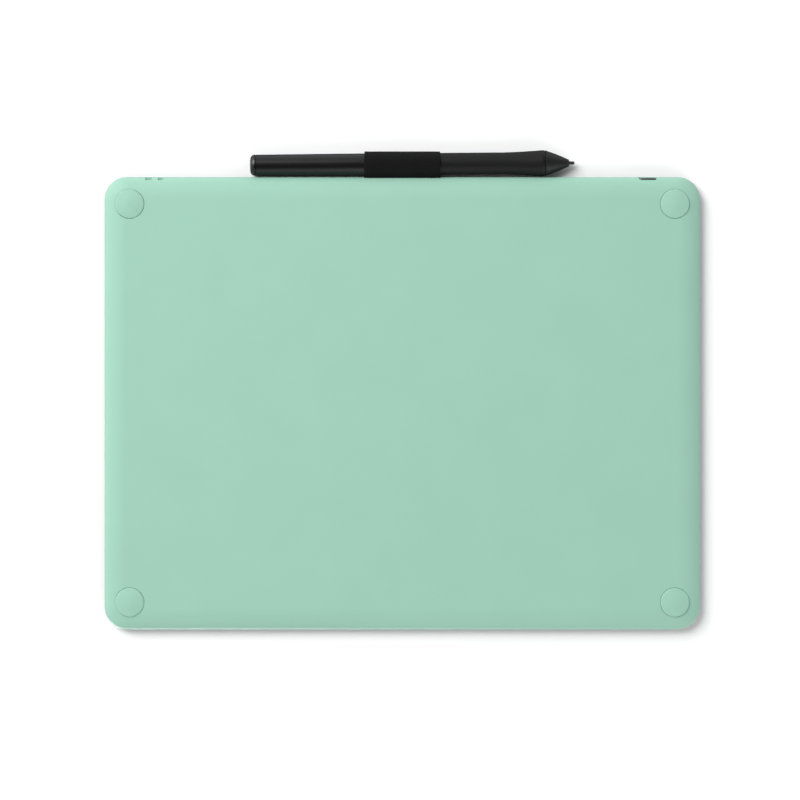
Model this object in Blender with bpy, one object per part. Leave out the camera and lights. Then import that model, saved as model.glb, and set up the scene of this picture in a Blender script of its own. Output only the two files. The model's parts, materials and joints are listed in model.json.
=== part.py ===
"""A pen drawing tablet with its pen in a cloth loop, as separate pieces.

Metres, +Z up. The tablet stands on its four feet at z = 0 with the drawing side up.
+X runs along the back edge, +Y points to that edge, where the loop holds the pen.
The origin is under the middle of the whole object, pen and loop included.
"""

import math

import bmesh
import bpy
from mathutils import Vector

# ---- Driving dimensions ------------------------------------------------------------
WIDTH = 0.264
DEPTH = 0.2005
HEIGHT = 0.0088
CORNER_RADIUS = 0.010
EDGE_ROLL = 0.010  # how far in the rolled edge of the bottom cover reaches
CORNER_SPREAD = 0.6  # how much of an inset a corner radius loses
SHELL = 0.0014
GAP = 0.0003  # between pieces that touch

FOOT_RADIUS = 0.0063
FOOT_FLAT_RADIUS = 0.0032
FOOT_DOME = 0.0004
FOOT_STAND = 0.0009  # how far a foot stands below the cover
FOOT_X = 0.1203
FOOT_Y = 0.0879

PEN_LENGTH = 0.1437
PEN_TAIL_X = 0.0673
PEN_TAIL_RADIUS = 0.0047
PEN_RADIUS = 0.0049
PEN_WIDEST_RADIUS = 0.00575
PEN_OFFSET = 0.0057  # from the tablet's back edge to the pen's axis, at X = 0
PEN_LEAN = math.radians(0.42)  # the pen's tail end lies nearer to the tablet
NIB_RADIUS = 0.00075

# Distances along the pen from its tail's end.
CAP_EDGE = 0.0021
BARREL_START = 0.0024
CAP_PLUG_END = 0.009
TAPER_END = 0.050
BARREL_END = 0.078
SWITCH_AT = 0.100
FLARE_START = 0.1128
WIDEST_AT = 0.1291
SEAM_AT = 0.1304
CONE_END = 0.1412

CAP_FLAT_RADIUS = 0.0029
BARREL_BORE = 0.0039
GRIP_BORE = 0.0040
SWITCH_LENGTH = 0.024
SWITCH_WIDTH = 0.0026
SWITCH_PROUD = 0.0006
SWITCH_BASE = 0.0034  # from the pen's axis
SWITCH_PIN_RISE = 0.0024  # from the pen's axis
SENSOR_RADIUS = 0.0022  # leaves room for the end of the tipped switch

LOOP_WIDTH = 0.0336
LOOP_CLOTH = 0.0005

KEY_LENGTH = 0.022
KEY_DEPTH = 0.0075
KEY_PLACES = (-0.056, -0.0285, 0.0285, 0.056)
KEY_FLANGE = 0.0009  # how far the rim that keeps a key in reaches out
KEY_EDGE = 0.0003
POWER_RADIUS = 0.0038
LIGHT_X = 0.0100
LIGHT_RADIUS = 0.0009

SHEET_SIZE = (0.246, 0.150)
SHEET_Y = -0.0165
SHEET_CORNER = 0.003
TRAY_FLOOR_HALF = (0.0735, 0.0058)
TRAY_TOP_HALF = (0.0790, 0.0095)

BATTERY_SIZE = (0.072, 0.050)
BATTERY_AT = (0.056, 0.018)
SENSOR_BOARD_SIZE = (0.224, 0.140)
SHIELD_SIZE = (0.218, 0.134)
STACK_Y = -0.018
RIBBON_X = -0.028
CONNECTOR_Y = 0.0705

# ---- Heights and places worked out from them ---------------------------------------
UNDERSIDE = FOOT_STAND
FLOOR = UNDERSIDE + SHELL
RIM = 0.0061
PANEL_BOTTOM = RIM + GAP
PANEL_INSET = 0.0004
PANEL_EDGE = 0.0009
LIP_BOTTOM = PANEL_BOTTOM - 0.0014
SHEET_THICKNESS = 0.00045
TRAY_DEPTH = 0.001
TRAY_FLOOR = HEIGHT - TRAY_DEPTH

HALF_WIDTH = WIDTH / 2
HALF_DEPTH = DEPTH / 2
WIDEST_OFFSET = PEN_OFFSET + (WIDEST_AT - PEN_TAIL_X) * math.tan(PEN_LEAN)
TABLET_Y = -(WIDEST_OFFSET + PEN_WIDEST_RADIUS) / 2
PEN_TAIL_Y = TABLET_Y + HALF_DEPTH + PEN_OFFSET - PEN_TAIL_X * math.tan(PEN_LEAN)
PEN_Z = PEN_WIDEST_RADIUS + 0.00035
LOOP_RADIUS = PEN_RADIUS + 0.0002
LOOP_SLOT_LOW = 0.0047
LOOP_TAIL_DEPTH = 0.008
GRIP_START = BARREL_END + GAP

FOOT_TOP = UNDERSIDE + 0.0007
POCKET_ROOF = FOOT_TOP + GAP
SCREW_HEAD_TOP = POCKET_ROOF + 0.0009
SCREW_TIP = 0.0069
BOSS_TOP = 0.0042
SCREW_RADIUS = 0.0008
SCREW_HOLE = SCREW_RADIUS + GAP
SCREW_HEAD_RADIUS = 0.0018

BOARD_BOTTOM = FLOOR + GAP
BOARD_TOP = BOARD_BOTTOM + 0.0008
ON_BOARD = BOARD_TOP + GAP
SHIELD_BOTTOM = 0.0047
SHIELD_TOP = 0.0050
SENSOR_BOTTOM = SHIELD_TOP + GAP
SENSOR_TOP = SENSOR_BOTTOM + 0.0008

KEY_Y = 0.079
KEY_TRAVEL = 0.0006
KEY_FLANGE_TOP = PANEL_BOTTOM - GAP
KEY_FLANGE_BOTTOM = KEY_FLANGE_TOP - 0.00055
KEY_TOP = TRAY_FLOOR + 0.0006
SWITCH_TOP = KEY_FLANGE_BOTTOM - KEY_TRAVEL - 0.00035

USB_X = -0.1087
USB_WIDTH = 0.0074
USB_LOW = 0.0036
USB_HIGH = 0.0055
USB_SHELL = 0.00028
USB_DEPTH = 0.0055
TETHER_PLACES = ((0.1122, 0.0031), (0.1069, 0.0025))
TETHER_LOW = 0.0033
TETHER_HIGH = 0.0048
PORT_DEPTH = 0.008  # of the cutters that open the back wall

CORNER_STEPS = 6
ROLL_STEPS = 7
INNER_ROLL_STEPS = 4
ROUND_STEPS = 24

# ---- Materials: colour, roughness, metallic ----------------------------------------
FINISHES = {
    "mint_plastic": ((0.37, 0.65, 0.52), 0.55, 0.0),
    "mint_rubber": ((0.36, 0.63, 0.51), 0.70, 0.0),
    "black_plastic": ((0.018, 0.018, 0.019), 0.50, 0.0),
    "drawing_film": ((0.022, 0.022, 0.024), 0.75, 0.0),
    "key_plastic": ((0.022, 0.022, 0.023), 0.45, 0.0),
    "clear_plastic": ((0.75, 0.78, 0.80), 0.15, 0.0),
    "black_cloth": ((0.014, 0.014, 0.015), 0.90, 0.0),
    "black_rubber": ((0.020, 0.020, 0.021), 0.65, 0.0),
    "gloss_black": ((0.012, 0.012, 0.013), 0.15, 0.0),
    "nib_plastic": ((0.015, 0.015, 0.016), 0.45, 0.0),
    "circuit_board": ((0.02, 0.14, 0.05), 0.45, 0.0),
    "chip_plastic": ((0.02, 0.02, 0.02), 0.50, 0.0),
    "steel": ((0.56, 0.56, 0.55), 0.35, 1.0),
    "copper": ((0.72, 0.38, 0.22), 0.35, 1.0),
    "ferrite": ((0.06, 0.06, 0.06), 0.80, 0.0),
    "battery_foil": ((0.60, 0.61, 0.63), 0.40, 0.8),
    "lead_cover": ((0.35, 0.02, 0.02), 0.55, 0.0),
    "ribbon_film": ((0.62, 0.52, 0.28), 0.45, 0.0),
}


def clear_scene():
    for obj in list(bpy.data.objects):
        bpy.data.objects.remove(obj, do_unlink=True)


def finish(name):
    """The named material, made the first time it is asked for."""
    made = bpy.data.materials.get(name)
    if made:
        return made
    colour, roughness, metallic = FINISHES[name]
    made = bpy.data.materials.new(name)
    made.use_nodes = True
    shader = made.node_tree.nodes["Principled BSDF"]
    shader.inputs["Base Color"].default_value = (*colour, 1.0)
    shader.inputs["Roughness"].default_value = roughness
    shader.inputs["Metallic"].default_value = metallic
    return made


def empty(name, location, rotation=(0, 0, 0), parent=None):
    marker = bpy.data.objects.new(name, None)
    marker.location = location
    marker.rotation_euler = rotation
    marker.parent = parent
    bpy.context.collection.objects.link(marker)
    return marker


# ---- Shapes ------------------------------------------------------------------------
def add_object(name, bm, look, parent, location=(0, 0, 0)):
    """An object from a bmesh, with outward normals and smooth round sides."""
    bmesh.ops.remove_doubles(bm, verts=bm.verts, dist=1e-7)
    bmesh.ops.recalc_face_normals(bm, faces=bm.faces)
    mesh = bpy.data.meshes.new(name)
    bm.to_mesh(mesh)
    bm.free()
    mesh.shade_smooth()
    mesh.set_sharp_from_angle(angle=math.radians(30))
    obj = bpy.data.objects.new(name, mesh)
    obj.location = location
    obj.parent = parent
    if look:
        mesh.materials.append(finish(look))
    bpy.context.collection.objects.link(obj)
    return obj


def rounded_outline(half_x, half_y, radius, z, steps=CORNER_STEPS, centre=(0, 0)):
    """A rectangle with round corners at height z, as points in order; radius 0 is square."""
    points = []
    for corner, (side_x, side_y) in enumerate(((1, 1), (-1, 1), (-1, -1), (1, -1))):
        for step in range(steps + 1 if radius else 1):
            angle = math.pi / 2 * (corner + step / steps)
            x = side_x * (half_x - radius) + radius * math.cos(angle)
            y = side_y * (half_y - radius) + radius * math.sin(angle)
            if not radius:
                x, y = side_x * half_x, side_y * half_y
            points.append(Vector((x + centre[0], y + centre[1], z)))
    return points


def skin_rings(bm, rings, hollow=False):
    """Faces from ring to ring; the end rings are capped, or joined when the form is hollow."""
    loops = [[bm.verts.new(point) for point in ring] for ring in rings]
    pairs = list(zip(loops, loops[1:]))
    if hollow:
        pairs.append((loops[-1], loops[0]))
    else:
        bm.faces.new(loops[0])
        bm.faces.new(loops[-1])
    for low, high in pairs:
        for i in range(len(low)):
            j = (i + 1) % len(low)
            bm.faces.new((low[i], low[j], high[j], high[i]))


def skin(name, rings, look, parent, location=(0, 0, 0), hollow=False):
    bm = bmesh.new()
    skin_rings(bm, rings, hollow)
    return add_object(name, bm, look, parent, location)


def slab(name, size, z_low, z_high, look, parent, at=(0, 0), radius=0.0, steps=4):
    """A flat piece with upright sides between two heights."""
    rings = [rounded_outline(size[0] / 2, size[1] / 2, radius, z, steps, at) for z in (z_low, z_high)]
    return skin(name, rings, look, parent)


def turned(name, profile, look, parent, location=(0, 0, 0), steps=ROUND_STEPS, tube=False):
    """A form turned about its own Z from (radius, z) points; a tube's profile is a closed loop."""
    bm = bmesh.new()
    points = [bm.verts.new((radius, 0, z)) for radius, z in profile]
    edges = [bm.edges.new(pair) for pair in zip(points, points[1:])]
    if tube:
        edges.append(bm.edges.new((points[-1], points[0])))
    turn = {"cent": (0, 0, 0), "axis": (0, 0, 1), "angle": 2 * math.pi, "steps": steps}
    bmesh.ops.spin(bm, geom=points + edges, use_merge=True, **turn)
    return add_object(name, bm, look, parent, location)


def disc(name, radius, z_low, z_high, look, parent, at=(0, 0), steps=ROUND_STEPS):
    profile = [(0, z_low), (radius, z_low), (radius, z_high), (0, z_high)]
    return turned(name, profile, look, parent, (at[0], at[1], 0), steps)


def boolean(target, other, operation):
    """Cuts other from target, or joins it to it, and leaves other out of the model."""
    other.hide_render = True
    other.display_type = "WIRE"
    step = target.modifiers.new(f"{operation.lower()} {other.name}", "BOOLEAN")
    step.operation = operation
    step.object = other
    step.solver = "EXACT"


def cut(target, *cutters):
    for cutter in cutters:
        boolean(target, cutter, "DIFFERENCE")


def join(target, *others):
    for other in others:
        boolean(target, other, "UNION")


def corners():
    """Where the feet and the screws behind them are, with a name for each."""
    for side_y, row in ((-1, "front"), (1, "back")):
        for side_x, side in ((-1, "left"), (1, "right")):
            yield f"{row}_{side}", (side_x * FOOT_X, side_y * FOOT_Y)


def tablet_outline(inset, z):
    radius = CORNER_RADIUS - CORNER_SPREAD * inset
    return rounded_outline(HALF_WIDTH - inset, HALF_DEPTH - inset, radius, z)


def quarter_roll(start, reach, low, high, steps=ROLL_STEPS):
    """Rings up a quarter ellipse: from flat, reach further in, to upright at start."""
    for step in range(steps + 1):
        angle = math.pi / 2 * step / steps
        inset = start + reach * (1 - math.sin(angle))
        yield tablet_outline(inset, low + (high - low) * (1 - math.cos(angle)))


# ---- The tablet's casing -----------------------------------------------------------
def bottom_cover(tablet):
    """The mint tray: rolled edge, floor, ribs, screw bosses, foot pockets and ports."""
    outside = list(quarter_roll(0, EDGE_ROLL, UNDERSIDE, RIM))
    inside = list(quarter_roll(SHELL, EDGE_ROLL - SHELL, FLOOR, RIM, INNER_ROLL_STEPS))
    cover = skin("bottom_cover", outside + inside[::-1], "mint_plastic", tablet)

    rib_sink = FLOOR - 0.0006
    rib_top = SHIELD_BOTTOM - GAP
    for number, x in enumerate((-0.095, -0.060, -0.025, 0.015, 0.097)):
        place = (x, STACK_Y)
        join(cover, slab(f"long_rib_{number}", (0.0012, 0.124), rib_sink, rib_top, None, tablet, place))
    cross_top = rib_top - 0.0001
    for number, y in enumerate((-0.070, -0.040, -0.010)):
        place = (0.0013, y)
        join(cover, slab(f"cross_rib_{number}", (0.2003, 0.0011), rib_sink, cross_top, None, tablet, place))
    for name, place in corners():
        foot_seat(cover, name, place, tablet)

    ports = [
        ("usb_mouth", USB_X, USB_WIDTH + 2 * GAP, USB_LOW - GAP, USB_HIGH + GAP),
        ("loop_mouth", 0, LOOP_WIDTH + 2 * GAP, LOOP_SLOT_LOW - GAP, RIM + 0.001),
    ]
    for number, (x, width) in enumerate(TETHER_PLACES):
        ports.append((f"tether_slot_{number}", x, width, TETHER_LOW, TETHER_HIGH))
    for name, x, width, low, high in ports:
        cut(cover, slab(name, (width, PORT_DEPTH), low, high, None, tablet, (x, HALF_DEPTH - 0.0015)))


def foot_seat(cover, name, place, tablet):
    """A foot's pocket over a thicker pad, with the boss, counterbore and hole of its screw."""
    below = 0.001  # where the bores start, well inside the pocket
    pad_low, pad_high = POCKET_ROOF - 0.0001, POCKET_ROOF + 0.001
    pad = disc(f"pad_{name}", FOOT_RADIUS + 0.0011, pad_low, pad_high, None, tablet, place)
    boss = disc(f"boss_{name}", 0.0032, POCKET_ROOF + 0.0005, BOSS_TOP, None, tablet, place, 12)
    pocket = disc(f"pocket_{name}", FOOT_RADIUS + 0.00025, 0, POCKET_ROOF, None, tablet, place)
    bore_radius, bore_top = SCREW_HEAD_RADIUS + GAP, SCREW_HEAD_TOP + GAP
    counterbore = disc(f"bore_{name}", bore_radius, below, bore_top, None, tablet, place, 16)
    hole = disc(f"hole_{name}", SCREW_HOLE, below, BOSS_TOP + 0.001, None, tablet, place, 12)
    join(cover, pad, boss)
    cut(cover, pocket, counterbore, hole)


def front_panel(tablet):
    """The black top: round edge, locating lip, screw posts, sheet recess, pen tray, key holes."""
    lip_outer = SHELL + 0.0006
    lip_inner = lip_outer + 0.001
    rings = [
        tablet_outline(lip_inner, PANEL_BOTTOM),
        tablet_outline(lip_inner, LIP_BOTTOM),
        tablet_outline(lip_outer, LIP_BOTTOM),
        tablet_outline(lip_outer, PANEL_BOTTOM),
        tablet_outline(PANEL_INSET, PANEL_BOTTOM),
    ]
    for step in range(4):
        angle = math.pi / 2 * step / 3
        inset = PANEL_INSET + PANEL_EDGE * (1 - math.cos(angle))
        rings.append(tablet_outline(inset, HEIGHT - PANEL_EDGE * (1 - math.sin(angle))))
    panel = skin("front_panel", rings, "black_plastic", tablet)

    for name, place in corners():
        post_low, post_high = BOSS_TOP + GAP, PANEL_BOTTOM + 0.0005
        join(panel, disc(f"post_{name}", 0.0026, post_low, post_high, None, tablet, place, 12))
        thread_top = SCREW_TIP + GAP
        cut(panel, disc(f"thread_{name}", SCREW_HOLE, BOSS_TOP, thread_top, None, tablet, place, 12))
    recess_size = [side + 2 * GAP for side in SHEET_SIZE]
    recess_low, recess_radius = HEIGHT - SHEET_THICKNESS - GAP, SHEET_CORNER + GAP
    recess_place = (0, SHEET_Y)
    above = HEIGHT + 0.001
    recess = slab("sheet_recess", recess_size, recess_low, above, None, tablet, recess_place, recess_radius)
    cut(panel, recess, pen_tray(tablet))
    key_openings(panel, tablet)
    for name, x, width in (("lip_notch", 0, LOOP_WIDTH), ("usb_notch", USB_X, USB_WIDTH)):
        size, place = (width + 2 * GAP, 0.004), (x, HALF_DEPTH - 0.003)
        cut(panel, slab(name, size, LIP_BOTTOM - 0.001, PANEL_BOTTOM, None, tablet, place))


def key_openings(panel, tablet):
    """The holes in the tray's floor for the keys, the power button and the light guide."""
    low = PANEL_BOTTOM - 0.0004
    size = (KEY_LENGTH + 2 * GAP, KEY_DEPTH + 2 * GAP)
    for number, x in enumerate(KEY_PLACES):
        cut(panel, slab(f"key_hole_{number}", size, low, HEIGHT, None, tablet, (x, KEY_Y), 0.0018))
    cut(panel, disc("power_hole", POWER_RADIUS + GAP, low, HEIGHT, None, tablet, (0, KEY_Y), 24))
    cut(panel, disc("light_hole", LIGHT_RADIUS + GAP, low, HEIGHT, None, tablet, (LIGHT_X, KEY_Y), 16))


def pen_tray(tablet):
    """The cutter of the shallow tray: sloping sides down to a flat floor."""
    rise = 0.0005  # how far the cutter's sides go on above the panel
    share = 1 + rise / TRAY_DEPTH
    high = [low + (top - low) * share for low, top in zip(TRAY_FLOOR_HALF, TRAY_TOP_HALF)]
    rings = [
        rounded_outline(*TRAY_FLOOR_HALF, TRAY_FLOOR_HALF[1] - GAP, TRAY_FLOOR, centre=(0, KEY_Y)),
        rounded_outline(*high, high[1] - 0.0004, HEIGHT + rise, centre=(0, KEY_Y)),
    ]
    return skin("pen_tray", rings, None, tablet)


def feet_and_screws(tablet):
    for name, place in corners():
        profile = [(0, 0), (FOOT_FLAT_RADIUS, 0)]
        dome = FOOT_RADIUS - FOOT_FLAT_RADIUS
        for step in range(1, 5):
            share = step / 4
            profile.append((FOOT_FLAT_RADIUS + dome * share, FOOT_DOME * share**2))
        profile += [(FOOT_RADIUS, FOOT_TOP), (0, FOOT_TOP)]
        turned(f"{name}_foot", profile, "mint_rubber", tablet, (*place, 0))
        head = SCREW_HEAD_RADIUS
        screw = [(0, POCKET_ROOF), (head, POCKET_ROOF), (head, SCREW_HEAD_TOP)]
        screw += [(SCREW_RADIUS, SCREW_HEAD_TOP), (SCREW_RADIUS, SCREW_TIP), (0, SCREW_TIP)]
        turned(f"{name}_screw", screw, "steel", tablet, (*place, 0), 12)


def drawing_sheet(tablet):
    low, place = HEIGHT - SHEET_THICKNESS, (0, SHEET_Y)
    slab("drawing_sheet", SHEET_SIZE, low, HEIGHT, "drawing_film", tablet, place, SHEET_CORNER)


# ---- Inside the casing -------------------------------------------------------------
def sensor_stack(tablet):
    """The sensor board over its shield plate, which has a window for the battery."""
    place, corner = (0, STACK_Y), 0.002
    board = (SENSOR_BOTTOM, SENSOR_TOP, "circuit_board")
    slab("sensor_board", SENSOR_BOARD_SIZE, *board, tablet, place, corner)
    shield = slab("shield_plate", SHIELD_SIZE, SHIELD_BOTTOM, SHIELD_TOP, "steel", tablet, place, corner)
    window = [side + 0.0036 for side in BATTERY_SIZE]
    low, high = SHIELD_BOTTOM - 0.001, SHIELD_TOP + 0.001
    cut(shield, slab("battery_window", window, low, high, None, tablet, BATTERY_AT, 0.001))
    slab("battery", BATTERY_SIZE, FLOOR + GAP, SHIELD_TOP, "battery_foil", tablet, BATTERY_AT, 0.001)


def main_board(tablet):
    """The main board under the keys, with what is mounted on it."""
    board = (BOARD_BOTTOM, BOARD_TOP, "circuit_board")
    slab("main_board", (0.196, 0.024), *board, tablet, (-0.014, KEY_Y), 0.001)
    mounted = (
        ("controller_chip", (0.010, 0.010), ON_BOARD, 0.0046, "chip_plastic", (-0.0705, KEY_Y)),
        ("wireless_module", (0.013, 0.016), ON_BOARD, 0.0054, "steel", (-0.090, 0.078)),
        ("battery_connector", (0.006, 0.004), ON_BOARD, 0.0052, "chip_plastic", (0.060, CONNECTOR_Y)),
        ("battery_lead", (0.0030, 0.0250), 0.0038, 0.0045, "lead_cover", (0.060, 0.0557)),
        ("ribbon_connector", (0.022, 0.004), ON_BOARD, 0.0049, "chip_plastic", (RIBBON_X, CONNECTOR_Y)),
    )
    for name, size, low, high, look, place in mounted:
        slab(name, size, low, high, look, tablet, place)
    switches = [(f"key_switch_{number}", x) for number, x in enumerate(KEY_PLACES, 1)]
    for name, x in (*switches, ("power_switch", 0)):
        slab(name, (0.0045, 0.0045), ON_BOARD, SWITCH_TOP, "steel", tablet, (x, KEY_Y), 0.0005, 2)
    guide_low, guide_high = ON_BOARD + 0.0006, TRAY_FLOOR + 0.0001
    place = (LIGHT_X, KEY_Y)
    disc("light_guide", LIGHT_RADIUS, guide_low, guide_high, "clear_plastic", tablet, place, 16)


def sensor_ribbon(tablet):
    """The flat cable from the sensor board's edge down to the main board."""
    bm = bmesh.new()
    half = 0.010
    path = ((0.0523, 0.0057), (0.0555, 0.0057), (0.0610, 0.0042), (0.0682, 0.0042))
    rows = [[bm.verts.new((side * half, y, z)) for side in (-1, 1)] for y, z in path]
    for low, high in zip(rows, rows[1:]):
        bm.faces.new((low[0], low[1], high[1], high[0]))
    ribbon = add_object("sensor_ribbon", bm, "ribbon_film", tablet, (RIBBON_X, 0, 0))
    body = ribbon.modifiers.new("thickness", "SOLIDIFY")
    body.thickness = 0.0002
    body.offset = 0


def usb_socket(tablet):
    """A shell with rounded corners round a thin tongue, in the back wall."""
    back = HALF_DEPTH - 0.0007
    front = back - USB_DEPTH
    middle = (USB_LOW + USB_HIGH) / 2
    half_x, half_z = USB_WIDTH / 2, (USB_HIGH - USB_LOW) / 2

    def section(thinner, y):
        outline = rounded_outline(half_x - thinner, half_z - thinner, 0.0008 - thinner, 0, 4)
        return [Vector((point.x, y, middle + point.y)) for point in outline]

    places = ((0, front), (0, back), (USB_SHELL, back), (USB_SHELL, front))
    rings = [section(thinner, y) for thinner, y in places]
    skin("usb_socket", rings, "steel", tablet, (USB_X, 0, 0), hollow=True)
    tongue = (USB_WIDTH - 0.003, back - front - 0.001)
    place = (USB_X, (front + back) / 2 - 0.0005)
    slab("usb_tongue", tongue, middle - 0.0002, middle + 0.0003, "chip_plastic", tablet, place)


# ---- Keys --------------------------------------------------------------------------
def keys(tablet):
    """Four keys and a round power button, each a cap on a flange that keeps it in."""
    steps, corner = 4, 0.0015
    half = (KEY_LENGTH / 2, KEY_DEPTH / 2)
    flange = [side + KEY_FLANGE for side in half]
    top = [side - KEY_EDGE for side in half]
    for number, x in enumerate(KEY_PLACES, 1):
        rings = [
            rounded_outline(*flange, 0.002, KEY_FLANGE_BOTTOM, steps),
            rounded_outline(*flange, 0.002, KEY_FLANGE_TOP, steps),
            rounded_outline(*half, corner, KEY_FLANGE_TOP, steps),
            rounded_outline(*half, corner, KEY_TOP - KEY_EDGE, steps),
            rounded_outline(*top, corner - KEY_EDGE, KEY_TOP, steps),
        ]
        skin(f"key_{number}", rings, "key_plastic", tablet, (x, KEY_Y, 0))
    wide = POWER_RADIUS + 0.0008
    button = [(0, KEY_FLANGE_BOTTOM), (wide, KEY_FLANGE_BOTTOM), (wide, KEY_FLANGE_TOP)]
    button += [(POWER_RADIUS, KEY_FLANGE_TOP), (POWER_RADIUS, KEY_TOP - KEY_EDGE)]
    button += [(POWER_RADIUS - KEY_EDGE, KEY_TOP), (0, KEY_TOP)]
    turned("power_button", button, "key_plastic", tablet, (0, KEY_Y, 0), 24)


# ---- The pen's loop ----------------------------------------------------------------
def pen_loop(tablet):
    """The cloth band round the pen; both its ends go into the back edge and are clamped."""
    outer = LOOP_RADIUS + LOOP_CLOTH
    axis = (0, HALF_DEPTH + PEN_OFFSET, PEN_Z)
    band = along_x("pen_loop", outer, LOOP_WIDTH, "black_cloth", tablet, axis)
    inner_end, outer_end = HALF_DEPTH - LOOP_TAIL_DEPTH, axis[1] - LOOP_RADIUS + GAP
    size, place = (LOOP_WIDTH, outer_end - inner_end), (0, (inner_end + outer_end) / 2)
    join(band, slab("loop_tail", size, LOOP_SLOT_LOW, RIM - 0.0001, None, tablet, place))
    cut(band, along_x("loop_bore", LOOP_RADIUS, LOOP_WIDTH + 0.004, None, tablet, axis))
    size, place = (LOOP_WIDTH + 0.002, 0.0025), (0, inner_end + 0.0013)
    slab("loop_clamp_bar", size, 0.0033, LOOP_SLOT_LOW - GAP, "black_plastic", tablet, place, 0.0005)


def along_x(name, radius, length, look, parent, centre, steps=32):
    """A round bar that lies along X, centred on a point."""
    bm = bmesh.new()
    rings = []
    for x in (-length / 2, length / 2):
        turn = [2 * math.pi * step / steps for step in range(steps)]
        rings.append([Vector((x, radius * math.cos(a), radius * math.sin(a))) for a in turn])
    skin_rings(bm, rings)
    return add_object(name, bm, look, parent, centre)


# ---- The pen, drawn along its own axis ---------------------------------------------
def tail_cap(pen):
    """A rounded cap on a plug that pushes into the barrel."""
    round_reach = PEN_TAIL_RADIUS - CAP_FLAT_RADIUS
    profile = [(0, 0), (CAP_FLAT_RADIUS, 0)]
    for step in range(1, 6):
        angle = math.pi / 2 * step / 5
        radius = CAP_FLAT_RADIUS + round_reach * math.sin(angle)
        profile.append((radius, CAP_EDGE * (1 - math.cos(angle))))
    plug = BARREL_BORE - GAP
    profile += [(plug, CAP_EDGE), (plug, CAP_PLUG_END), (0, CAP_PLUG_END)]
    turned("pen_tail_cap", profile, "gloss_black", pen)


def barrel(pen):
    """The rear tube, which swells a little over its first half."""
    profile = [
        (PEN_TAIL_RADIUS, BARREL_START),
        (PEN_TAIL_RADIUS + 0.0001, 0.020),
        (PEN_RADIUS, TAPER_END),
        (PEN_RADIUS, BARREL_END),
        (BARREL_BORE, BARREL_END),
        (BARREL_BORE, BARREL_START),
    ]
    turned("pen_barrel", profile, "black_plastic", pen, tube=True)


def grip(pen):
    """The soft front sleeve: it flares to the widest point and is open for the side switch."""
    profile = [(GRIP_BORE, GRIP_START), (PEN_RADIUS, GRIP_START), (PEN_RADIUS, FLARE_START)]
    for step in range(1, 6):
        share = step / 5
        radius = PEN_RADIUS + (PEN_WIDEST_RADIUS - PEN_RADIUS) * share**1.6
        profile.append((radius, FLARE_START + (WIDEST_AT - FLARE_START) * share))
    profile += [(PEN_WIDEST_RADIUS - 0.0001, SEAM_AT), (GRIP_BORE + 0.0006, SEAM_AT)]
    profile += [(GRIP_BORE + 0.0006, SEAM_AT - 0.004), (GRIP_BORE, SEAM_AT - 0.005)]
    sleeve = turned("pen_grip", profile, "black_rubber", pen, tube=True, steps=28)
    room = 0.00035  # round the switch
    half = (0.004, SWITCH_WIDTH / 2 + room, SWITCH_LENGTH / 2 + room)
    cut(sleeve, upright_box("switch_opening", half, (0.0055, 0, SWITCH_AT), None, pen))


def nose(pen):
    """The hard cone round the nib, with a spigot that goes back into the grip."""
    spigot = GRIP_BORE + 0.0003
    profile = [
        (spigot - 0.0006, SEAM_AT - 0.0036),
        (spigot, SEAM_AT - 0.0036),
        (spigot, SEAM_AT + GAP),
        (PEN_WIDEST_RADIUS - 0.00012, SEAM_AT + GAP),
        (0.0017, CONE_END - 0.0004),
        (0.0014, CONE_END),
        (NIB_RADIUS + GAP, CONE_END),
        (NIB_RADIUS + GAP, CONE_END - 0.0020),
        (spigot - 0.0006, SEAM_AT + 0.0030),
    ]
    turned("pen_nose", profile, "black_plastic", pen, tube=True, steps=28)


def nib(pen):
    """The nib and the holder that carries its push back to the pressure sensor."""
    tip = PEN_LENGTH
    profile = [(0, 0.1150), (NIB_RADIUS, 0.1150), (NIB_RADIUS, tip - 0.0005)]
    profile += [(NIB_RADIUS * 0.75, tip - 0.00015), (NIB_RADIUS * 0.35, tip), (0, tip)]
    turned("pen_nib", profile, "nib_plastic", pen, steps=20)
    holder = [(0, 0.1132), (0.0017, 0.1132), (0.0017, 0.1186), (NIB_RADIUS + GAP, 0.1186)]
    holder += [(NIB_RADIUS + GAP, 0.1147), (0, 0.1147)]
    turned("nib_holder", holder, "steel", pen, steps=20)


def pen_sensing(pen):
    """The ferrite core and coil round the nib, and the pressure sensor behind it."""
    core = [(0.0011, 0.1192), (0.0022, 0.1192), (0.0022, 0.1330), (0.0011, 0.1330)]
    turned("ferrite_core", core, "ferrite", pen, steps=20, tube=True)
    coil = [(0.0025, 0.1205), (0.0031, 0.1205), (0.0031, 0.1310), (0.0025, 0.1310)]
    turned("pen_coil", coil, "copper", pen, steps=24, tube=True)
    rod("pressure_sensor", SENSOR_RADIUS, 0.1085, 0.1125, "steel", pen, steps=20)


def rod(name, radius, start, end, look, pen, at=(0, 0, 0), steps=12):
    """A plain round piece between two places along the pen."""
    profile = [(0, start), (radius, start), (radius, end), (0, end)]
    return turned(name, profile, look, pen, at, steps)


def upright_box(name, half, centre, look, parent):
    """A box by its half sizes, in the parent's axes."""
    rings = [rounded_outline(half[0], half[1], 0, side * half[2]) for side in (-1, 1)]
    return skin(name, rings, look, parent, centre)


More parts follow.
